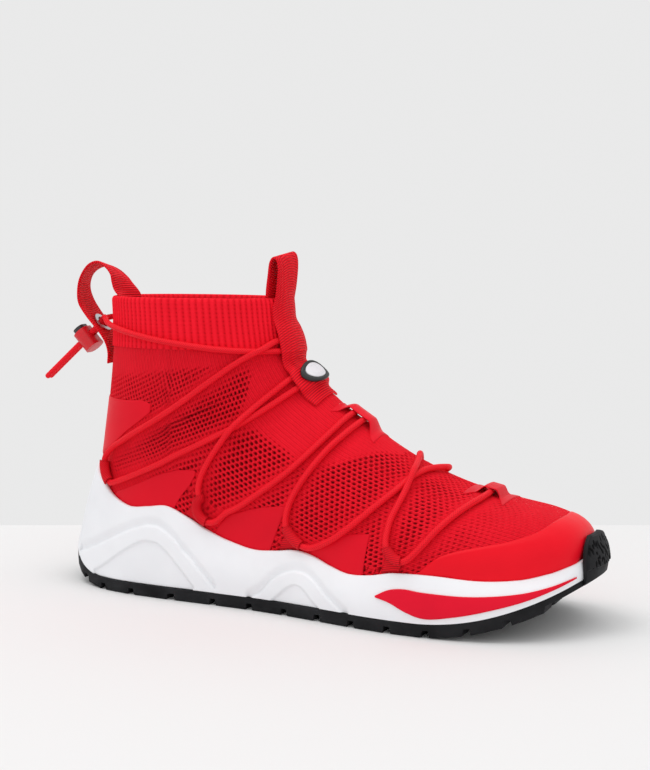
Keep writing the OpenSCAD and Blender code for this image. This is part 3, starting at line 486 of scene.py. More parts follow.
def cord_look():
    """Braided lace: two sets of crossing strands, with painted shade in the grooves between them."""
    k = Look("lace_braid", RED, 0.6, Specular_IOR_Level=0.2, Sheen_Weight=0.15, Sheen_Roughness=0.3)
    s, t = k.axis(0), k.axis(1)
    one = k.wave(k.add(s, t), BRAID_PITCH)
    two = k.wave(k.math("SUBTRACT", s, t), BRAID_PITCH)
    height = k.add(k.math("MAXIMUM", one, two), k.mul(k.noise(900), 0.2))
    # Colour follows the strands' height: painted shade in the grooves between them, with a random tone.
    k.colour(k.mul(height, k.add(0.6, k.mul(k.noise(40), 0.5))),
             [(0.15, scaled(RED, 0.62)), (0.7, scaled(RED, 1.1))])
    k.bump(height, 0.5, 0.22)
    return k.mat


def foam_look():
    """White moulded foam with a fine skin."""
    k = Look("white_foam", (0.86, 0.87, 0.88), 0.55)
    k.colour(k.noise(30), [(0.3, (0.85, 0.86, 0.89)), (0.7, (0.91, 0.92, 0.95))])
    k.rough(k.noise(300), 0.48, 0.62)
    k.bump(k.noise(1400, 2), 0.12, 0.1)
    return k.mat


def rubber_look():
    """Charcoal rubber, finely grained, scuffed paler here and there, with painted shade in the pits that a
    mesh's shade number marks.
    """
    k = Look("dark_rubber", (0.012, 0.012, 0.013), 0.6, Specular_IOR_Level=0.16)
    # Random tone times painted shade from the mesh's shade number.
    tone = k.mul(k.noise(60, 5), k.lit())
    k.colour(tone, [(0.0, (0.001, 0.001, 0.001)), (0.35, (0.006, 0.006, 0.007)),
                    (0.65, (0.017, 0.017, 0.019))])
    k.rough(k.noise(200), 0.5, 0.75)
    k.bump(k.noise(1500, 3), 0.25, 0.12)
    return k.mat


def plain_look(name, colour, rough, grain=900, strength=0.15, variation=0.85, **sockets):
    """A moulded or pressed material with fine grain and slight colour variation."""
    k = Look(name, colour, rough, **sockets)
    k.colour(k.noise(45), [(0.3, scaled(colour, variation)), (0.7, colour)])
    k.rough(k.noise(grain / 3), max(rough - 0.06, 0.05), rough + 0.08)
    k.bump(k.noise(grain), strength, 0.1)
    return k.mat


def metal_look(name, colour, rough):
    k = Look(name, colour, rough, Metallic=1.0)
    k.colour(k.noise(180), [(0.3, scaled(colour, 0.82)), (0.7, colour)])
    k.rough(k.noise(500, stretch=(1, 6, 1)), rough - 0.05, rough + 0.12)
    k.bump(k.noise(1200), 0.08, 0.05)
    return k.mat


KNIT = knit_look()
LINING = knit_look("knit_lining_yarn", 1.6, 1.2)
RIB = rib_look()
GUARD_FILM = film_look("toe_guard_film", (0.92, 0.007, 0.02), 0.38)
SIDE_FILM = film_look("side_film_skin", (0.80, 0.005, 0.02), 0.42)
LOOP_WEB = webbing_look("loop_tape", RED, 1.1)
TAB_WEB = webbing_look("tab_tape", scaled(RED, 1.1), RIB_PITCH)
LACE = cord_look()
FOAM = foam_look()
RUBBER = rubber_look()
PANEL = film_look("panel_film_skin", (0.80, 0.007, 0.03), 0.40)
THREAD = plain_look("sewing_thread", scaled(RED, 1.1), 0.6, 1500, 0.3)
BADGE_RUBBER = plain_look("badge_rubber", (0.012, 0.012, 0.013), 0.42)
BADGE_FACE = plain_look("badge_face", (0.82, 0.80, 0.84), 0.4)
STEEL = metal_look("grommet_steel", (0.62, 0.63, 0.65), 0.28)
SPRING_STEEL = metal_look("spring_steel", (0.55, 0.56, 0.58), 0.3)
LOCK_RED = plain_look("lock_plastic", (0.70, 0.006, 0.016), 0.33, 700, 0.08)
LOCK_DARK = plain_look("button_plastic", (0.03, 0.03, 0.034), 0.38, 700, 0.08)
INSOLE_FOAM = plain_look("insole_cloth", (0.05, 0.05, 0.055), 0.85, 1100, 0.4, Sheen_Weight=0.2)
BOARD = plain_look("board_fibre", (0.45, 0.33, 0.2), 0.85, 600, 0.4)
STIFF = plain_look("stiffener_fibre", (0.7, 0.66, 0.58), 0.8, 600, 0.4)
COUNTER_CLOTH = plain_look("counter_cloth", scaled(DEEP_RED, 0.9), 0.85, 1400, 0.45, Sheen_Weight=0.15)

# ---- lace route -------------------------------------------------------------------
N_SKIN = GAP + LACE_R
EYE_IN = LACE_R + 0.25
N_EYE = GAP + LOOP_T + EYE_IN + 0.05
N_CUFF = N_SKIN + 0.45
N_OVER = N_SKIN + LACE_D + 0.2


def route(s):
    """Half of the lace as [u, angle, height] over the upper. s is 1 for the half that starts to lateral.

    A point that names no height is at N_SKIN.
    """
    first = s > 0
    pts = [[4.35, 0], [4.35, s * 13], [4.43, s * 26], [4.62, s * 42], [4.85, s * 58],
           [5.1, s * 74, N_SKIN + 0.3], [5.35, s * 82.5, N_EYE], [5.67, s * 76, N_EYE],
           [5.76, s * 62, N_SKIN + 0.1], [5.72, s * 46]]
    pts += ([[5.71, 36, N_SKIN + 1], [5.75, 25, N_OVER], [5.84, 12, N_SKIN + 0.9], [5.97, -3],
             [6.1, -18], [6.25, -38], [6.5, -58, N_SKIN + 0.3]] if first else
            [[5.66, -33], [5.5, -20, N_SKIN + 0.4], [5.42, -9, N_SKIN + 0.8], [5.5, 2, N_SKIN + 0.2],
             [5.62, 13], [5.73, 25], [5.9, 42], [6.25, 60, N_SKIN + 0.4]])
    pts += [[6.65, -s * 75, N_SKIN + 0.8], [7.05, -s * 85, N_SKIN + 1], [7.38, -s * 88, N_EYE],
            [7.8, -s * 82.5, N_EYE], [7.95, -s * 73, N_SKIN + 0.1], [7.9, -s * 60]]
    pts += ([[7.78, -46, N_SKIN + 0.8], [7.63, -30, N_OVER], [7.68, -18, N_SKIN + 0.8], [7.73, -9],
             [7.73, 9]] if first else
            [[7.7, 42], [7.5, 26], [7.4, 11], [7.4, -11], [7.55, -28]])
    pts += [[7.82, s * 27], [8.0, s * 42], [8.3, s * 58], [8.75, s * 75], [9.1, s * 87, N_SKIN + 0.4],
            [9.45, s * 93, N_EYE], [10.1, s * 89.5, N_EYE]]
    pts += ([[10.5, 84.5, N_SKIN + 0.2], [10.85, 77.5], [11.2, 68.5, N_SKIN + 0.9], [11.5, 60, N_OVER],
             [11.8, 50, N_SKIN + 0.9], [12.15, 37], [12.65, 19], [12.65, 0], [12.65, -19], [12.5, -40],
             [12.42, -62], [12.38, -84]] if first else
            [[10.5, -84.5, N_SKIN + 0.2], [10.8, -76], [11.05, -62], [11.2, -45], [11.2, -25],
             [11.15, 0], [11.15, 25], [11.2, 40], [11.35, 52], [11.52, 61], [11.8, 72], [12.1, 87]])
    pts += [[12.35, -s * 103], [12.52, -s * 118, N_SKIN + 0.3], [12.68, -s * 128.5, N_EYE],
            [13.3, -s * 135, N_EYE], [13.52, -s * 129, N_SKIN + 0.4], [13.6, -s * 118, N_SKIN + 0.2],
            [13.67, -s * 107, N_SKIN + 0.6]]
    pts += ([[13.8, -95], [14.1, -82], [14.6, -68], [15.1, -54], [15.55, -40], [15.8, -28, N_CUFF],
             [15.9, -18, N_CUFF], [15.93, 0, N_CUFF], [15.95, 18, N_CUFF], [15.98, 38, N_CUFF],
             [16.06, 58, N_CUFF]] if first else
            [[13.8, 95], [14.1, 82], [14.6, 68], [15.15, 56, N_SKIN + 0.2], [15.65, 46, N_CUFF + 0.7],
             [16.0, 37, N_OVER + 0.6], [16.28, 28, N_CUFF + 1], [16.42, 18, N_CUFF], [16.42, 0, N_CUFF],
             [16.4, -18, N_CUFF], [16.34, -38, N_CUFF], [16.28, -58, N_CUFF]])
    pts += [[16.25 if first else 16.3, s * 84, N_CUFF], [16.48, s * 108, N_CUFF],
            [16.68, s * 128, N_CUFF]]
    return np.array([[*p, N_SKIN][:3] for p in pts])


HALF = [route(1), route(-1)]
GROMMET_AT = np.array([5.9 - ORIGIN_X, 0, 142.5])
GROMMET_PITCH = math.radians(42)
GROMMET_YAW = math.radians(6)
TAIL_PITCH = LACE_D / 2 + 0.15
TAIL_START = -2.8
TAIL_END = -47.0


def from_grommet(p):
    """A point of the grommet's frame: x along the lace towards the shoe, z up the cord lock."""
    p = np.asarray(p, float)
    cx, sx = math.cos(GROMMET_PITCH), math.sin(GROMMET_PITCH)
    cy, sy = math.cos(GROMMET_YAW), math.sin(GROMMET_YAW)
    x, z = p[..., 0] * cx - p[..., 2] * sx, p[..., 0] * sx + p[..., 2] * cx
    return GROMMET_AT + np.stack([x * cy - p[..., 1] * sy, x * sy + p[..., 1] * cy, z], -1)


def half_path(half):
    """One half of the lace, from the front guide to the grommet."""
    s = 1 - 2 * half
    w = rows_along(HALF[half], (len(HALF[half]) - 1) * 8 + 1)
    held = over(w[:, 0], w[:, 1], w[:, 2])
    free = np.array([held[-9], held[-1], [24 - ORIGIN_X, -s * 20, 144], [16 - ORIGIN_X, -s * 11, 146.5],
                     from_grommet([4.5, -s * 2.6, 0.6]), from_grommet([0.5, -s * TAIL_PITCH, 0]),
                     from_grommet([-2.4, -s * TAIL_PITCH, 0])])
    tail = row_at(free, np.linspace(1, len(free) - 1, 60))
    return np.concatenate([held, tail[1:]])


# ---- cords: the two tails beyond the grommet -----------------------------------------
def make_tail(name, node, s):
    """One lace end, straight out of the grommet, with a heat-sealed round tip."""
    x = np.linspace(TAIL_START, TAIL_END, 90)
    path = from_grommet(np.stack([x, np.full(90, -s * TAIL_PITCH), np.zeros(90)], -1))
    to_tip = np.clip((x - TAIL_END) / LACE_R, 0.02, 1)
    radius = LACE_R * np.sqrt(np.clip(1 - (1 - to_tip) ** 2, 0.01, 1))
    ang = np.linspace(0, 2 * math.pi, 24, endpoint=False)
    braid = 0.05 * np.sin(6 * ang[None] + x[:, None] * 5) * np.sin(6 * ang[None] - x[:, None] * 5)
    tail = tube_object(name, path, radius[:, None] + braid - 0.03, 24)
    stands_for(tail, LACE, "lace_cord", node)


make_tail("lace_end_lateral", "lace_tail_lateral", 1)
make_tail("lace_end_medial", "lace_tail_medial", -1)

# ---- knitted upper ------------------------------------------------------------------
# Ring number, and the angle from the ridge where the closed knit ends
THROAT = [[0, 0], [6.3, 10], [6.8, 28], [7.3, 42], [8, 52], [12, 54], [14, 46], [16.2, 40]]
# Ring number, and how open the knit is there
OPENNESS = [[2.3, 0.1], [2.7, 0.16], [3.6, 0.24], [4.6, 0.42], [5.2, 0.8], [8, 1], [13, 1], [14.2, 0.85],
            [15.2, 0.6], [15.5, 0]]
HOLE_PITCH_S = 3.3
HOLE_PITCH_T = 2.25
HOLE_DEPTH = 1.2
UNDER_LIP = 5  # degrees that the knit runs on under the foam lip


def lace_tree():
    pts = np.concatenate([half_path(0), half_path(1)])
    tree = KDTree(len(pts))
    for i, p in enumerate(pts):
        tree.insert(p, i)
    tree.balance()
    return tree


LACE_TREE = lace_tree()


def distance_to_lace(points):
    flat = points.reshape(-1, 3)
    return np.array([LACE_TREE.find(p)[2] for p in flat.tolist()]).reshape(points.shape[:-1])


def knit_holes(u, a, near):
    """Size of the knit's openings, 0 to 1, over the upper."""
    a = np.abs(a)
    throat = np.where(u < 6.2, 1, smooth_step(a - np.interp(u, *np.array(THROAT).T), -3, 5))
    along = np.interp(u, *np.array(OPENNESS).T)
    low = 1 - 0.55 * smooth_step(a, 78, 112) * (1 - 0.6 * smooth_step(u, 13.4, 14.2))
    strand = 0.35 + 0.65 * smooth_step(near, 3.0, 9.0)
    return throat * along * low * strand


def knit_edge(u, side):
    """Angle where the knit ends, a little under the foam lip."""
    edge = feather_angle(u, side) + side * UNDER_LIP
    return np.where(np.abs(edge) > 178, side * 180, edge)


def knit_grid(u0, u1, side, step_u, step_a):
    """A dense grid over one side of the upper, from the ridge to just under the foam lip."""
    u = np.linspace(u0, u1, 400)
    side_line = skin(u, (feather_angle(u, side) + side * UNDER_LIP) * 0.75)
    u = np.linspace(u0, u1, int(path_lengths(side_line)[-1] / step_u))[:, None]
    edge = knit_edge(u[:, 0], side)[:, None]
    rings = skin(u, edge * np.linspace(0, 1, 60)[None])
    widest = np.max(np.sum(np.linalg.norm(np.diff(rings, axis=1), axis=-1), 1))
    return np.broadcast_arrays(u, edge * np.linspace(0, 1, int(widest / step_a))[None])


def lengthwise(u, a):
    """Millimetres along the upper from ring 9 to the points (u, a), measured on lines of even angle."""
    stations, m = np.linspace(0.5, U_CUFF, 500), a.shape[1]
    lines = skin(stations[:, None], np.linspace(0, 170, m)[None])
    far = np.vstack([np.zeros((1, m)), np.cumsum(np.linalg.norm(np.diff(lines, axis=0), axis=-1), 0)])
    far = far - far[int(np.interp(9.0, stations, np.arange(500)))]
    return between(far, np.interp(u, stations, np.arange(500)), np.abs(a) / 170 * (m - 1))


def knit_panel(name, u0, u1, side, step_u, step_a):
    """One dense stretch of knit with its openings pressed into the surface."""
    u, a = knit_grid(u0, u1, side, step_u, step_a)
    g = skin(u, a)
    s, t = lengthwise(u, a), lengths_along(g)[1]
    size = knit_holes(u, a, distance_to_lace(g))
    row = np.round(t / HOLE_PITCH_T)
    turns = s / HOLE_PITCH_S + (row % 2) * 0.5
    off_s, off_t = (turns - np.round(turns)) * HOLE_PITCH_S, t - row * HOLE_PITCH_T
    d = np.sqrt((off_s / (0.66 + 0.48 * size)) ** 2 + (off_t / (0.52 + 0.27 * size)) ** 2)
    hole = (1 - smooth_step(d, 0.55, 1.25)) * smooth_step(size, 0.02, 0.6)
    ridge = np.cos(2 * math.pi * t / HOLE_PITCH_T) * 0.06 * size
    height = -HOLE_DEPTH * hole * (0.3 + 0.7 * size) + ridge + 0.12 * size
    height = np.where(np.abs(a) < 0.01, height * 0.5, height)
    g = g + skin_normal(u, a) * height[..., None]
    # Painted shade in the openings, darker where they are larger.
    shade = np.clip(hole * (0.5 + 0.5 * size), 0, 1)
    stands_for(grid_object(name, g, (s, t), shade, flip=side < 0), KNIT, "knit", "knit_upper")


def make_knit():
    for side, word in SIDES:
        knit_panel(f"knit_vamp_{word}", 0.6, 7.6, side, 0.55, 0.5)
        knit_panel(f"knit_quarter_{word}", 7.6, U_CUFF, side, 0.62, 0.52)
    lining = over(np.linspace(0.9, U_CUFF, 160)[:, None], np.linspace(0, 360, 97)[None], -KNIT_T)
    stands_for(grid_object("knit_lining", lining, shade=np.zeros((160, 97))), LINING, "knit", "knit_upper")


CUFF_RIBS = 90
CUFF_DOTS = 2.1
U_FOLD = 17.8


def make_cuff():
    """Folded cuff: upright ribs with dotted columns between them and a scalloped rim."""
    per_rib, rows = 8, 34
    a = np.linspace(0, 360, CUFF_RIBS * per_rib, endpoint=False)
    up = np.linspace(U_CUFF - 0.06, U_FOLD, rows)
    lip = np.radians(np.linspace(0, 180, 11))[1:-1]
    u = np.concatenate([up, U_FOLD + 0.2 * np.sin(lip), up[::-1]])
    rim = 0.4 - RIB_T / 2 + RIB_T / 2 * np.cos(lip)
    n = np.concatenate([np.full(rows, 0.4), rim, np.full(rows, 0.4 - RIB_T)])
    rib = 0.5 + 0.5 * np.cos(2 * math.pi * CUFF_RIBS * a / 360)[None]
    outer = np.concatenate([np.ones(rows), np.cos(lip) * 0.5 + 0.5, np.full(rows, 0.35)])[:, None]
    z = skin(u, np.zeros(len(u)))[:, 2][:, None]
    dots = (0.5 + 0.5 * np.cos(2 * math.pi * z / CUFF_DOTS)) ** 2 * (1 - rib) ** 3
    height = outer * (0.55 * np.sqrt(rib) - 0.55 - 0.25 * dots) + 0.3
    g = over(u[:, None], a[None], n[:, None] + height)
    # Painted shade in the grooves between the ribs and in the dots.
    shade = np.broadcast_to(np.clip(0.34 * (1 - rib) ** 2 + 0.3 * dots, 0, 1), g.shape[:2])
    uvs = np.stack(np.broadcast_arrays(np.arange(len(u))[:, None] * 0.9, a[None] * 0.75), -1)
    faces = grid_faces(len(u), len(a), wrap_cols=True)
    stands_for(add_mesh("rib_cuff_knit", g.reshape(-1, 3), faces, uvs, shade), RIB, "rib_knit", "rib_cuff")


# ---- bonded films --------------------------------------------------------------------
LIFT = 1.1
SUNK = 0.15  # how far a bonded film is pressed into the knit
# Ring and angle of the toe guard's upper edge, ring at the lip, and share of the angle there
GUARD = [[5.0, 88, 5.12, 1], [4.65, 76, 4.6, 1], [3.9, 67, 3.8, 1], [3.35, 60, 2.9, 1],
         [2.85, 46, 1.9, 1], [2.58, 24, 1.0, 1], [2.45, 0, 0.15, 0]]
# Angle, and the rings between which the heel film lies
HEEL_FILM = [
    [101, 14.1, 14.35], [108, 13.95, 14.54], [119, 13.8, 14.64], [130, 13.66, 14.73], [143, 13.6, 14.82],
    [161, 13.6, 14.9], [180, 13.62, 14.93], [199, 13.6, 14.9], [217, 13.6, 14.82], [230, 13.66, 14.73],
    [241, 13.8, 14.64], [252, 13.95, 14.54], [259, 14.1, 14.35],
]
# Ring and angle along the upper edge of each side film
SIDE_FILMS = [
    [[12.32, 124], [12.1, 107], [11.85, 94], [11.4, 88], [10.95, 84], [10.7, 89], [10.47, 97]],
    [[9.2, 91], [8.95, 86.5], [8.7, 82], [8.35, 77.5], [8.02, 74]],
    [[7.22, 85], [6.9, 79], [6.5, 73.5], [6.1, 70]],
]


def make_film(name, g, node, edge=2.0):
    stands_for(soft_sheet(name, g, FILM_T, edge=edge), SIDE_FILM, "overlay_film", node)


def guard_half(side):
    """Toe guard over one side, thinned out along its upper edge."""
    r = rows_along(GUARD, 90)
    outer = r[:, 3] * feather_angle(r[:, 2], side, 0.3)
    f = np.linspace(0, 1, 46)[None]
    u, a = mix(r[:, :1], r[:, 2:3], f), mix(side * r[:, 1:2], outer[:, None], f)
    return over(u, a, GUARD_T / 2 - SUNK - 0.3 * (1 - smooth_step(f, 0, 0.16)))


def make_guard():
    g = np.concatenate([guard_half(1), guard_half(-1)[::-1][1:]])
    stands_for(soft_sheet("toe_guard_film", g, GUARD_T, edge=2.5), GUARD_FILM, "guard_film", "toe_guard")


def make_heel_film():
    r = rows_along(HEEL_FILM, 120)
    u = mix(r[:, 1:2], r[:, 2:3], np.linspace(0, 1, 30)[None])
    make_film("heel_film_skin", over(u, r[:, :1], FILM_T / 2 - SUNK + 0.05), "heel_film")


def make_side_film(number, side, word):
    edge = SIDE_FILMS[number - 1]
    r = rows_along(edge, 60)
    bottom = feather_angle(r[:, 0], side, 0.2)[:, None]
    a = mix(side * r[:, 1:2], bottom, np.linspace(0, 1, 40)[None])
    g = over(r[:, :1], a, FILM_T / 2 - SUNK + 0.05)
    make_film(f"side_film_{word}_{number}_skin", g, f"side_film_{word}_{number}")


def make_throat_guide(name, node, middle, reach, slot):
    """Bonded strip along the ridge, arched over the strands that cross under it."""
    high, flat = N_SKIN + LACE_R + 0.3 + FILM_T / 2, FILM_T / 2 - SUNK
    v = np.linspace(-1, 1, 90)[:, None]
    ease = smooth_step(np.abs(v) * reach, slot, slot + reach * 0.42)
    width = 8 + 10 * smooth_step(np.abs(v), 0.45, 1)
    g = over(middle + v * reach, width * np.linspace(-1, 1, 30)[None], mix(high, flat, ease))
    make_film(name, g, node, 1.5)


# ---- lace loops ------------------------------------------------------------------------
EYE_OUT = EYE_IN + LOOP_T
# Rings at the two ends of each loop's sewn base
BASE_U = [[5.72, 5.4], [7.84, 7.44], [10.1, 9.52], [13.0, 12.55]]


def eye_index(half, count):
    n = HALF[half][:, 2]
    return [i for i in range(len(n) - 1) if n[i] == N_EYE and n[i + 1] == N_EYE][count]


def on_route(half, t):
    w = row_at(HALF[half], np.array([t]))[0]
    return w, over(w[0], w[1], w[2])


def loop_section(half, start, count, side, f):
    """One slice of a folded loop: its outline from the tail, round the lace and back."""
    w, c = on_route(half, start + f)
    nn = skin_normal(w[0], w[1])
    along = unit(on_route(half, start + f + 0.05)[1] - on_route(half, start + f - 0.05)[1])
    base_u = mix(BASE_U[count][1], BASE_U[count][0], f)
    base_a = float(feather_angle(np.array([base_u]), side, LIFT + 0.3)[0])
    across = unit(np.cross(along, nn))
    toward = across if across @ (skin(base_u, base_a) - c) > 0 else -across
    up = unit(np.cross(toward, along))
    lift = up if up @ nn > 0 else -up

    def arc(radius, first, last):
        turn = np.radians(np.linspace(first, last, 22))[:, None]
        return c + (toward * np.cos(turn) + lift * np.sin(turn)) * radius

    share = np.array([0.3, 0.5, 0.7, 0.85, 1.0])
    tail_u, tail_a = mix(w[0], base_u, share), mix(w[1], base_a, share)
    upper, lower = over(tail_u, tail_a, GAP + LOOP_T)[::-1], over(tail_u, tail_a, GAP)
    return np.concatenate([upper, arc(EYE_IN, -90, -318), arc(EYE_OUT, -322, -90), lower])


def make_loop(number, side, word):
    count = 4 - number
    half = (count if side > 0 else count + 1) % 2
    start = eye_index(half, count)
    rings = np.array([loop_section(half, start, count, side, f) for f in np.linspace(0, 1, 22)])
    n, m = rings.shape[:2]
    faces = grid_faces(n, m, wrap_cols=True).tolist()
    for base, turn in ((0, 1), ((n - 1) * m, -1)):
        for j in range(m // 2 - 1):
            faces.append([base + q for q in (j + 1, j, m - 1 - j, m - 2 - j)][::turn])
    uvs = np.stack(lengths_along(rings)[::-1], -1)
    obj = add_mesh(f"lace_loop_{word}_{number}_tape", rings.reshape(-1, 3), faces, uvs)
    stands_for(obj, LOOP_WEB, "loop_webbing", f"lace_loop_{word}_{number}")


def make_lace():
    """The round braided lace in one piece."""
    step, sides = 0.62, 20
    path = even_path(np.concatenate([half_path(0)[::-1], half_path(1)[1:]]), step)
    s = 5 * (np.arange(len(path)) * step)[:, None] / LACE_R
    ang = 5 * np.linspace(0, 2 * math.pi, sides, endpoint=False)[None]
    braid = 0.07 * np.sin(ang + s) * np.sin(ang - s)
    stands_for(tube_object("lace_cord", path, LACE_R - 0.02 + braid, sides), LACE, "lace_cord", "lace")


# ---- webbing tabs -------------------------------------------------------------------------
TAB_REST = GAP + WEBBING_T / 2
TAB_OVER = N_CUFF + LACE_R + 0.2 + WEBBING_T / 2
# Ring, height over the upper and y of the front tab's middle where it lies on the shoe
TAB_SEAT = [
    [8.95, TAB_REST, -3], [9.5, TAB_REST, -3], [10.1, TAB_REST + 0.7, -3], [10.6, TAB_OVER - 1, -3],
    [11.1, TAB_OVER - 0.3, -3], [11.6, TAB_OVER - 0.3, -3], [12.1, TAB_OVER - 0.3, -3],
    [12.65, TAB_OVER - 0.3, -3], [13.2, TAB_OVER - 0.8, -2.8], [13.9, TAB_REST + 0.8, -2.6],
    [14.7, TAB_REST + 0.7, -2.4], [15.4, TAB_OVER - 0.8, -2.2], [15.9, TAB_OVER, -2],
    [16.42, TAB_OVER, -2], [16.8, TAB_OVER - 1.3, -2], [17.15, TAB_REST + 0.7, -2],
    [17.6, TAB_REST + 0.6, -2],
]
# x, z, bow of the edges, turn in degrees, y, and z slope across the width
TAB_FREE = [
    [124.6, 158.6, -2, 2, -2, 0], [124.8, 167, -0.8, 4, -2, 0.5], [125, 175.5, -0.3, 5, -2, 1.5],
    [124, 180.2, -0.2, 6, -2, 2.5], [121.7, 181.2, 0, 6, -2, 3], [119.9, 178.5, 0, 6, -2, 2.5],
    [119.1, 171, -0.4, 5, -2, 1], [118.7, 163, -1.8, 2, -1.5, 0], [118.4, 157, -2.5, 0, -0.5, 0],
    [118.3, 151, -2.5, 0, -0.5, 0],
]
TAB_REAR = [
    [24, 146, 2.3, 0, 0, 0], [24, 153, 2.3, 0, 0, 0], [23.6, 158, 1.9, 4, 0, 0],
    [22.2, 161.5, 0.8, 10, 0, -1], [20.4, 165.5, 0, 3, 0, -1.3], [17.9, 169.9, 0, -5, 0, -2.2],
    [13.1, 174, 0, -11, 0, -2.5], [6.8, 176.2, 0, -16, 0, -2.6], [0.8, 174.3, 0, -16, 0, -1.8],
    [-3.9, 169, 0, -15, 0, 0.7], [-5.6, 162, 0, -14, 0, 1.5], [-4, 154.8, 0, -9, 0, 1.5],
    [1.26, 147.47, 0, -6, 0, 0], [5.9, 142.5, 0, -6, 0, 0], [10.54, 137.53, 0, -6, 0, 0],
    [13.8, 132.4, 0.5, -4, 0, 0], [15, 127, 1.3, -2, 0, 0], [14.6, 121, 1.8, 0, 0, 0],
]


def webbing_rows(table, count, f):
    """Rows of points across the webbing, at fractions f of its width."""
    r = rows_along(table, count)[:, None]
    f = np.asarray(f)[None]
    turn = np.radians(r[..., 3])
    x = r[..., 0] + f * WEBBING_W * np.sin(turn) + 4 * f * f * r[..., 2] - ORIGIN_X
    return np.stack([x, r[..., 4] + f * WEBBING_W * np.cos(turn), r[..., 1] + f * r[..., 5]], -1)


def angle_at_y(u, y):
    r = row_at(SKIN, u)
    d = y - r[..., 4]
    w = np.where(d < 0, r[..., 5], r[..., 6])
    return np.where(d < 0, 1, -1) * np.degrees(np.arcsin(np.clip(np.abs(d) / w, 0, 1) ** (r[..., 9] / 2)))


def seat_points(count, f):
    """Points of the front tab where it lies on the shoe."""
    r = rows_along(TAB_SEAT, count)[:, None]
    u = np.broadcast_to(r[..., 0], (count, len(f)))
    return over(u, angle_at_y(u, r[..., 2] + f[None] * WEBBING_W), r[..., 1])


def resample_rows(g, step):
    """The same strip with rows every step millimetres along its middle."""
    d = path_lengths(g[:, g.shape[1] // 2])
    at = np.linspace(0, d[-1], int(d[-1] / step))
    flat = g.reshape(len(g), -1)
    return np.stack([np.interp(at, d, column) for column in flat.T], -1).reshape(len(at), -1, 3)


def tape(name, g, node):
    """Webbing with real cross ribs and a thicker woven edge on each side. Returns it and its grid."""
    step = 0.24
    g = resample_rows(g, step)
    s = (np.arange(len(g)) * step)[:, None]
    f = np.abs(np.linspace(-1, 1, g.shape[1]))[None]
    rib = 0.15 * np.cos(2 * math.pi * s / RIB_PITCH) * (f < 0.9) + 0.12 * (f > 0.86)
    obj = soft_sheet(name, g, WEBBING_T - 0.2, bump=rib, edge=0.6)
    return stands_for(obj, TAB_WEB, "tab_webbing", node), g


def stitch_rows(name, g, runs):
    """Sewing thread on a strip: each run is a line between two places (row share, width share)."""
    nn = grid_normals(g)
    n, m = g.shape[:2]
    verts, faces = [], []
    thread = np.array([0.08, 0.2, 0.24, 0.2, 0.08])[:, None]

    def on_strip(place, side):
        i, j = place[0] * (n - 1), place[1] * (m - 1)
        out = nn[min(int(i), n - 2), min(int(j), m - 2)] * side
        return between(g, i, j) + out * (WEBBING_T / 2 + 0.12)

    for start, end, side in runs:
        start, end = np.array(start), np.array(end)
        count = max(1, int(np.linalg.norm(on_strip(end, side) - on_strip(start, side)) / STITCH))
        for k in range(count):
            places = [start + (end - start) * (k + q) / count for q in (0.12, 0.3, 0.5, 0.7, 0.88)]
            faces += grid_faces(5, 6, len(verts) * 30, wrap_cols=True, flip=True).tolist()
            verts.append(tube_rings([on_strip(q, side) for q in places], thread, 6).reshape(-1, 3))
    stands_for(add_mesh(name, np.concatenate(verts), faces), THREAD, "tab_webbing")


def bar_tack(row, side, rows=3, gap=0.006):
    """Close parallel rows of stitches across the tape."""
    return [((row + k * gap, 0.08), (row + k * gap, 0.92), side) for k in range(rows)]


def make_tabs():
    f = np.linspace(-0.5, 0.5, 25)
    held = seat_points(200, f)
    free = webbing_rows(TAB_FREE, 160, f)
    strip = tape("front_tab_tape", np.concatenate([held, free]), "front_pull_tab")[1]
    sewn = bar_tack(0.025, 1, rows=2, gap=0.012) + bar_tack(0.52, 1) + bar_tack(0.47, 1, rows=2)
    stitch_rows("front_tab_stitches", strip, sewn)
    rear = webbing_rows(TAB_REAR, 260, f)
    obj, strip = tape("rear_tab_tape", rear, "rear_pull_tab")
    cut_grommet_hole(obj)
    stitch_rows("rear_tab_stitches", strip, bar_tack(0.93, -1) + bar_tack(0.97, -1, rows=2))


def cut_grommet_hole(obj):
    """Takes the webbing out of the grommet's bore."""
    mesh = obj.data
    axis = from_grommet([1.0, 0, 0]) - GROMMET_AT
    centres = np.zeros(len(mesh.polygons) * 3)
    mesh.polygons.foreach_get("center", centres)
    d = centres.reshape(-1, 3) / MM - GROMMET_AT
    off = np.linalg.norm(d - (d @ axis)[:, None] * axis[None], axis=-1)
    inside = (off < GROMMET_R + 0.8) & (np.abs(d @ axis) < 4)
    bm = bmesh.new()
    bm.from_mesh(mesh)
    bm.faces.ensure_lookup_table()
    bmesh.ops.delete(bm, geom=[bm.faces[i] for i in np.flatnonzero(inside)], context="FACES")
    bm.to_mesh(mesh)
    bm.free()


BADGE_U, BADGE_Y = 11.85, -3.0
# Radius and height over the tab, from the middle out and back
BADGE_RING = [(0.1, 0.2), (6.9, 0.2), (7.05, 0.5), (7.05, 1.1), (6.8, 1.6), (6.3, 1.85), (5.7, 1.85),
              (5.2, 1.65), (5.0, 1.3), (0.1, 1.3)]
BADGE_DISC = [(4.95, 1.25), (4.9, 1.6), (4.6, 1.78), (3.5, 1.9), (3.3, 2.05), (3.0, 2.05), (2.8, 1.94),
              (1.5, 2.0), (0.02, 2.02)]


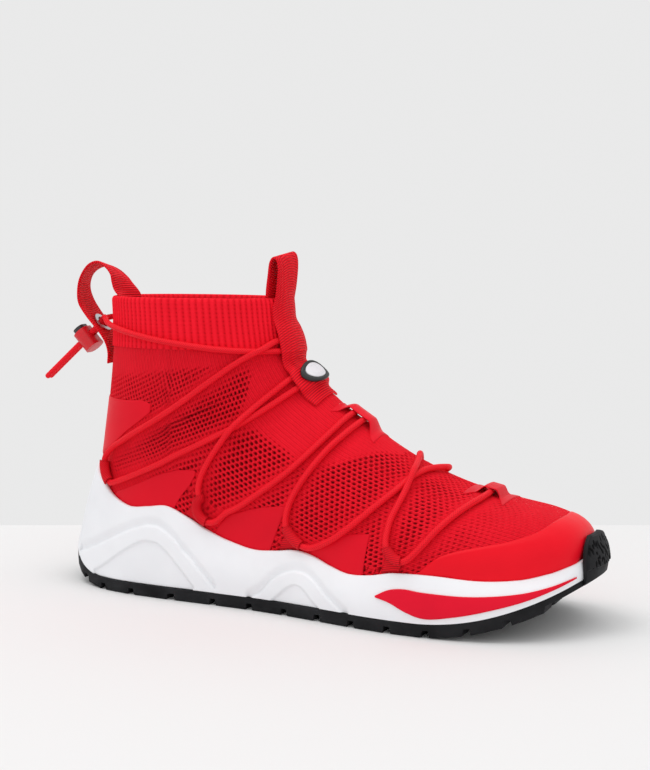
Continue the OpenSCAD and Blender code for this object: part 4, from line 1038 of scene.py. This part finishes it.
def badge_piece(name, profile, material, slot, node):
    """A profile turned about the badge's middle, laid on the tab."""
    ridge = np.linalg.norm(skin(BADGE_U + 0.5, 0) - skin(BADGE_U - 0.5, 0))
    d = np.radians(np.linspace(0, 360, 96, endpoint=False))
    r, n = np.array(profile).T[..., None]
    u = BADGE_U + r * np.cos(d)[None] / ridge
    g = over(u, angle_at_y(u, BADGE_Y + r * np.sin(d)[None]), TAB_OVER - 0.3 + WEBBING_T / 2 + n)
    obj = add_mesh(name, g.reshape(-1, 3), grid_faces(len(r), len(d), wrap_cols=True))
    stands_for(obj, material, slot, node)


def make_badge():
    """Round rubber badge with a plain domed face and one raised ring."""
    badge_piece("badge_ring", BADGE_RING, BADGE_RUBBER, "badge_rubber", "badge")
    badge_piece("badge_face", BADGE_DISC, BADGE_FACE, "badge_face", "badge_inlay")


# ---- sole ---------------------------------------------------------------------------------
# Ring of the upper, and x and the lateral and medial y at the foot of the foam
SOLE = [
    [0.02, 292, 2, 8], [1, 288.5, -13, 21], [2, 281, -29, 32], [3, 268, -41, 41], [4, 248, -50, 46.5],
    [5, 222, -53.5, 49.5], [6, 194, -52.5, 47], [7, 163, -47.5, 42], [8, 129, -42.5, 38.5], [9, 95, -41, 38],
    [10, 63, -40.5, 38], [11, 35, -37.5, 36.5], [12, 11, -28, 28], [12.8, -2, -15, 15],
    [13.43, -7, -1.5, 1.5],
]
LUG_H, RUBBER_T = 3.2, 3.0
SOLE_T = LUG_H + RUBBER_T
# Outlines of the foam's chevrons seen from the side, as x and z
PEAK_REAR = [[4, 16], [15, 20], [34, 28.6], [51, 35.6], [60, 37.5], [68, 35.4], [80, 26.2], [101, 8]]
PEAK_REAR_INNER = [[20, 9], [28, 13.6], [41, 22], [53, 28.4], [59, 29.5], [66, 28], [77, 19.3], [88, 8]]
PEAK_FRONT = [[120, 5], [128, 9.8], [134, 16.2], [142, 21], [150, 22.8], [158, 20.6], [169, 12], [181, 4]]
PEAK_FRONT_INNER = [[132, 4], [137, 8.5], [146, 15.3], [152, 15.9], [159, 10], [167, 4]]


def rise(x):
    """Height of the underside above the ground: heel bevel and toe spring."""
    heel = 16 * (np.clip(26 - x, 0, None) / 33) ** 2
    return heel + 0.0037 * np.clip(x - 215, 0, None) ** 2


def step_under(line, x, z, soft):
    line = np.array(line, float)
    inside = (x > line[0, 0]) & (x < line[-1, 0])
    return np.where(inside, smooth_step((eased_outline(line, x) - z) / soft + 0.5, 0, 1), 0)


def relief(x, z):
    """Chevron steps of the foam, crisper than the CAD solid's."""
    out = 0
    for peak, inner in ((PEAK_REAR, PEAK_REAR_INNER), (PEAK_FRONT, PEAK_FRONT_INNER)):
        out = out + 1.5 * step_under(peak, x, z, 1.1) - 1.75 * step_under(peak, x, z - 3, 6.5)
        out = out - 0.95 * step_under(inner, x, z, 1.0)
    return out


def wall(k, side, t, out=0.0):
    """Points of the foam side wall at sole rows k; t runs from the lip (0) to the rubber (1)."""
    k, t = np.broadcast_arrays(np.asarray(k, float), np.asarray(t, float))
    r = row_at(SOLE, k)
    u = r[..., 0]
    a = feather_angle(u, side)
    nn = skin_normal(u, a)
    nn = unit(nn * [1, 1, 0])
    lip = skin(u, a) + nn * (GAP + LIP_W)
    x = r[..., 1]
    edge = np.stack([x - ORIGIN_X, r[..., 2] if side > 0 else r[..., 3], rise(x) + SOLE_T + 0.3], -1)
    base = mix(lip, edge, t[..., None])
    s = row_at(SKIN, u)
    centre = np.stack([s[..., 2] - ORIGIN_X, s[..., 4]], -1)
    flat = unit(np.concatenate([edge[..., :2] - centre, np.zeros(edge.shape[:-1] + (1,))], -1))
    swell = 1.4 * np.sin(math.pi * t) + relief(base[..., 0] + ORIGIN_X, base[..., 2]) + out
    return base + flat * swell[..., None]


def foam_half(k, side):
    """Rings of one half of the foam at sole rows k: cavity, rounded lip, wall and underside."""
    u = row_at(SOLE, k)[:, 0][:, None]
    a = feather_angle(u[:, 0], side)[:, None]
    cavity = over(u, mix(side * 178, a, np.linspace(0, 1, 14)[None]), GAP)
    nn = unit(skin_normal(u, a) * [1, 1, 0])
    turn = np.radians(np.linspace(20, 160, 6))[None, :, None]
    rim = over(u, a, GAP) + nn * (LIP_W / 2 * (1 - np.cos(turn))) + np.sin(turn) * np.array([0, 0, 0.85])
    side_wall = wall(k[:, None], side, np.linspace(0, 1, 74)[None])
    edge = side_wall[:, -1:]
    inward = np.array([0, 1, 0]) * (row_at(SKIN, u)[..., 4:5] - edge[..., 1:2])
    under = edge + inward * np.linspace(0.1, 1, 6)[None, :, None]
    return np.concatenate([cavity, rim, side_wall, under], 1)


def make_midsole():
    """The foam in one closed ring of slices: lateral side, round the heel, and the medial side back."""
    k = np.concatenate([np.linspace(0, 1, 26), np.linspace(1, 13, 400)[1:], np.linspace(13, 14, 40)[1:]])
    lateral, medial = foam_half(k, 1), foam_half(k, -1)
    ends = np.stack([lateral[-5], lateral[-1], medial[-1], medial[-5]])
    round_heel = row_at(ends.reshape(4, -1), np.linspace(1, 2, 16)[1:-1]).reshape((14,) + lateral.shape[1:])
    rings = np.concatenate([lateral, round_heel, medial[::-1]])
    foam = grid_object("foam_body", rings, flip=True)
    stands_for(foam, FOAM, "foam_midsole", "midsole")


# Sole row, and the panel's two edges as shares of the way down the wall
PANEL_ROWS = [
    [5.84, 0.42, 0.46], [5.6, 0.31, 0.58], [5.3, 0.27, 0.77], [4.95, 0.31, 0.88], [4.4, 0.34, 0.84],
    [3.7, 0.36, 0.78], [3.0, 0.42, 0.76], [2.3, 0.49, 0.73], [1.7, 0.54, 0.70], [1.3, 0.58, 0.67],
]


def make_panel(side, word):
    r = rows_along(PANEL_ROWS, 180)
    f = np.linspace(0, 1, 26)[None]
    g = wall(r[:, :1], side, mix(r[:, 1:2], r[:, 2:3], f), 0.1 + PANEL_T / 2)
    obj = soft_sheet(f"side_panel_{word}_film", g, PANEL_T, edge=1.2)
    stands_for(obj, PANEL, "panel_film", f"side_panel_{word}")


# Height, y of the two ends and x at the middle of the bumper's rows
BUMPER = [
    [31, -14.5, 22.5, 292.7], [35, -14.2, 22.2, 292.2], [38.5, -12.8, 20.8, 291.4],
    [41.5, -10.5, 18.5, 290.2], [44.2, -7.5, 15.5, 289.2], [46.3, -4, 12, 288.4],
]
BUMPER_T = 2.3
BUMPER_PITS = 64
SHARP = math.radians(32)
STAYS_SHARP = math.radians(40)


def bevelled_copy(name, node, width, segments, material, slot, body=BODY):
    """A copy of a CAD node's mesh with its sharp edges softened."""
    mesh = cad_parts[node].data.copy()
    mesh.materials.clear()
    obj = linked(name, mesh)
    obj.modifiers.new("weld", "WELD").merge_threshold = 1e-5
    bevel = obj.modifiers.new("bevel", "BEVEL")
    bevel.width, bevel.segments = width * MM, segments
    bevel.limit_method, bevel.angle_limit, bevel.harden_normals = "ANGLE", SHARP, False
    done = bpy.data.meshes.new_from_object(obj.evaluated_get(bpy.context.evaluated_depsgraph_get()))
    obj.modifiers.clear()
    obj.data = done
    done.polygons.foreach_set("use_smooth", np.ones(len(done.polygons), bool))
    done.set_sharp_from_angle(angle=STAYS_SHARP)
    stands_for(obj, material, slot, node, body=body)


def bumper_pits(y, z):
    """Slanted oval pits scattered over the bumper, 0 to 1."""
    rng = np.random.default_rng(7)
    pits = np.zeros(y.shape)
    for _ in range(BUMPER_PITS):
        cy, cz = rng.uniform(-12, 21), rng.uniform(31, 44)
        long, slim, tilt = rng.uniform(0.9, 2.0), rng.uniform(0.5, 0.85), rng.uniform(-0.5, 0.2)
        dy, dz = y - cy, z - cz
        p = dz * math.cos(tilt) + dy * math.sin(tilt)
        q = dy * math.cos(tilt) - dz * math.sin(tilt)
        pits = np.maximum(pits, 1 - smooth_step(np.sqrt((p / long) ** 2 + (q / slim) ** 2), 0.6, 1.1))
    return pits


def make_outsole():
    """Rubber tread, and the face of its toe bumper with pits in it."""
    bevelled_copy("outsole_rubber", "outsole", 0.35, 2, RUBBER, "rubber_outsole")
    rows = np.linspace(0, len(BUMPER) - 1, 110)
    r = row_at(BUMPER, rows)[:, None]
    f = np.linspace(0.01, 0.99, 200)[None]
    y = mix(r[..., 1], r[..., 2], f)
    z = np.broadcast_to(r[..., 0], y.shape)
    base = np.stack([r[..., 3] - (y - 5) ** 2 / 92 - ORIGIN_X, y, z], -1)
    out = unit(np.stack([np.ones(y.shape), (y - 5) / 46, np.zeros(y.shape)], -1))
    to_row_end = np.minimum(rows, rows[-1] - rows)[:, None]
    border = smooth_step(np.minimum(np.minimum(f, 1 - f) * 30, to_row_end * 4), 0, 1)
    pits = bumper_pits(y, z)
    g = base + out * (BUMPER_T * 0.94 + (1.1 - 0.9 * pits) * border)[..., None]
    # Painted shade in the bumper's pits.
    face = grid_object("bumper_face", g, shade=np.clip(pits * border, 0, 1) * 0.9)
    stands_for(face, RUBBER, "rubber_outsole")


# ---- inside of the shoe -----------------------------------------------------------------------
def make_insole():
    """Moulded insole with a rounded edge, in woven cloth."""
    toe, heel, first, last = 1.5, 11.75, 144, 216
    u = np.linspace(toe, heel, 130)[:, None]
    a = np.linspace(first, last, 50)[None]
    edge = np.clip(np.minimum(a - first, last - a) / 5, 0, 1)
    ends = smooth_step(np.minimum(u - toe, heel - u), -0.05, 0.3)
    lift = 1.2 + GAP + 4 * np.clip(1 - (1 - edge) ** 3, 0, 1) * ends
    g = over(u, a, -KNIT_T - 2 * GAP) + lift[..., None] * np.array([0, 0, 1.0])
    s, t = lengths_along(g)
    g = g + np.array([0, 0, 0.12]) * (np.cos(s * 1.6) * np.cos(t * 1.6))[..., None]
    insole = grid_object("insole_pad", g)
    stands_for(insole, INSOLE_FOAM, "insole_foam", "insole")


def dress_cad_nodes():
    """Materials for the CAD nodes that stay as they are."""
    looks = {"lasting_board": BOARD, "heel_counter": COUNTER_CLOTH, "toe_puff": STIFF, "rear_grommet": STEEL}
    for node, look in looks.items():
        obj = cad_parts[node]
        obj.data.materials.clear()
        obj.data.materials.append(look)


LOCK_AT = -12.0
SPRING_LOW, SPRING_HIGH, SPRING_WIRE, SPRING_R = -5.7, -3.15, 0.25, 2.4


def make_cord_lock():
    """Barrel, button and the coil spring between them."""
    bevelled_copy("cord_lock_shell", "cord_lock_barrel", 0.45, 3, LOCK_RED, "lock_plastic", "cord_lock")
    bevelled_copy("cord_lock_push_button", "cord_lock_button", 0.4, 3, LOCK_DARK, "button_plastic",
                  "lock_button")
    turn = np.linspace(0, 6 * math.pi, 145)
    coil = np.stack([LOCK_AT + SPRING_R * np.cos(turn), SPRING_R * np.sin(turn),
                     np.linspace(SPRING_LOW, SPRING_HIGH, len(turn))], -1)
    spring = tube_object("cord_lock_coil", from_grommet(coil), SPRING_WIRE, 10)
    stands_for(spring, SPRING_STEEL, "spring_steel", "cord_lock_spring", body="cord_lock")
    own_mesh(spring)


# ---- stage --------------------------------------------------------------------------------------
FLOOR_BEHIND = 0.196
FLOOR_REACH = 3.0
FLOOR_PAINT = (0.83, 0.83, 0.83)
WORLD_LIGHT = 0.82


def make_stage():
    """Pale table top whose far edge shows against the backdrop."""
    paint = Look("stage_floor_paint", FLOOR_PAINT, 0.9)
    paint.colour(paint.noise(3, 2), [(0.2, scaled(FLOOR_PAINT, 0.992)), (0.8, FLOOR_PAINT)])
    back = Vector((-math.sin(CAM_AZIMUTH), math.cos(CAM_AZIMUTH), 0))
    right = Vector((back.y, -back.x, 0))
    edge = Vector((CAM_TARGET.x, 0, -0.0002)) + back * FLOOR_BEHIND
    near, right = back * (FLOOR_REACH + 1), right * FLOOR_REACH
    corners = [edge - right - near, edge + right - near, edge + right, edge - right]
    mesh = bpy.data.meshes.new("stage_floor")
    mesh.from_pydata(corners, [], [(0, 1, 2, 3)])
    mesh.materials.append(paint.mat)
    linked("stage_floor", mesh)


def area_light(name, place, target, size, power):
    light = bpy.data.lights.new(name, "AREA")
    light.shape, light.size, light.energy = "SQUARE", size, power
    obj = linked(name, light)
    obj.location = place
    obj.rotation_euler = (Vector(target) - Vector(place)).to_track_quat("-Z", "Y").to_euler()


def make_lights():
    """Soft studio light from above and the left, with fill from the front."""
    world = bpy.data.worlds.new("studio")
    world.use_nodes = True
    world.node_tree.nodes["Background"].inputs[0].default_value = (1, 1, 1, 1)
    world.node_tree.nodes["Background"].inputs[1].default_value = WORLD_LIGHT
    bpy.context.scene.world = world
    bpy.context.scene.view_settings.view_transform = "Standard"
    area_light("key", (-0.35, -0.25, 1.2), (0, 0, 0.06), 0.6, 3.6)
    area_light("fill", (0.9, -1.2, 0.5), (0, 0, 0.08), 1.1, 0.8)
    area_light("top", (0.35, 0.0, 1.3), (0, 0, 0.05), 0.9, 2.0)


def build():
    make_knit()
    make_cuff()
    make_guard()
    make_heel_film()
    for side, word in SIDES:
        for number in (1, 2, 3):
            make_side_film(number, side, word)
        for number in (1, 2, 3, 4):
            make_loop(number, side, word)
        make_panel(side, word)
    make_throat_guide("rear_guide_film", "throat_guide_rear", 7.57, 0.75, 0.3)
    make_throat_guide("front_guide_film", "throat_guide_front", 4.35, 0.42, 0.1)
    make_lace()
    make_tabs()
    make_badge()
    make_midsole()
    make_outsole()
    make_insole()
    make_cord_lock()
    dress_cad_nodes()
    make_stage()
    make_lights()


build()
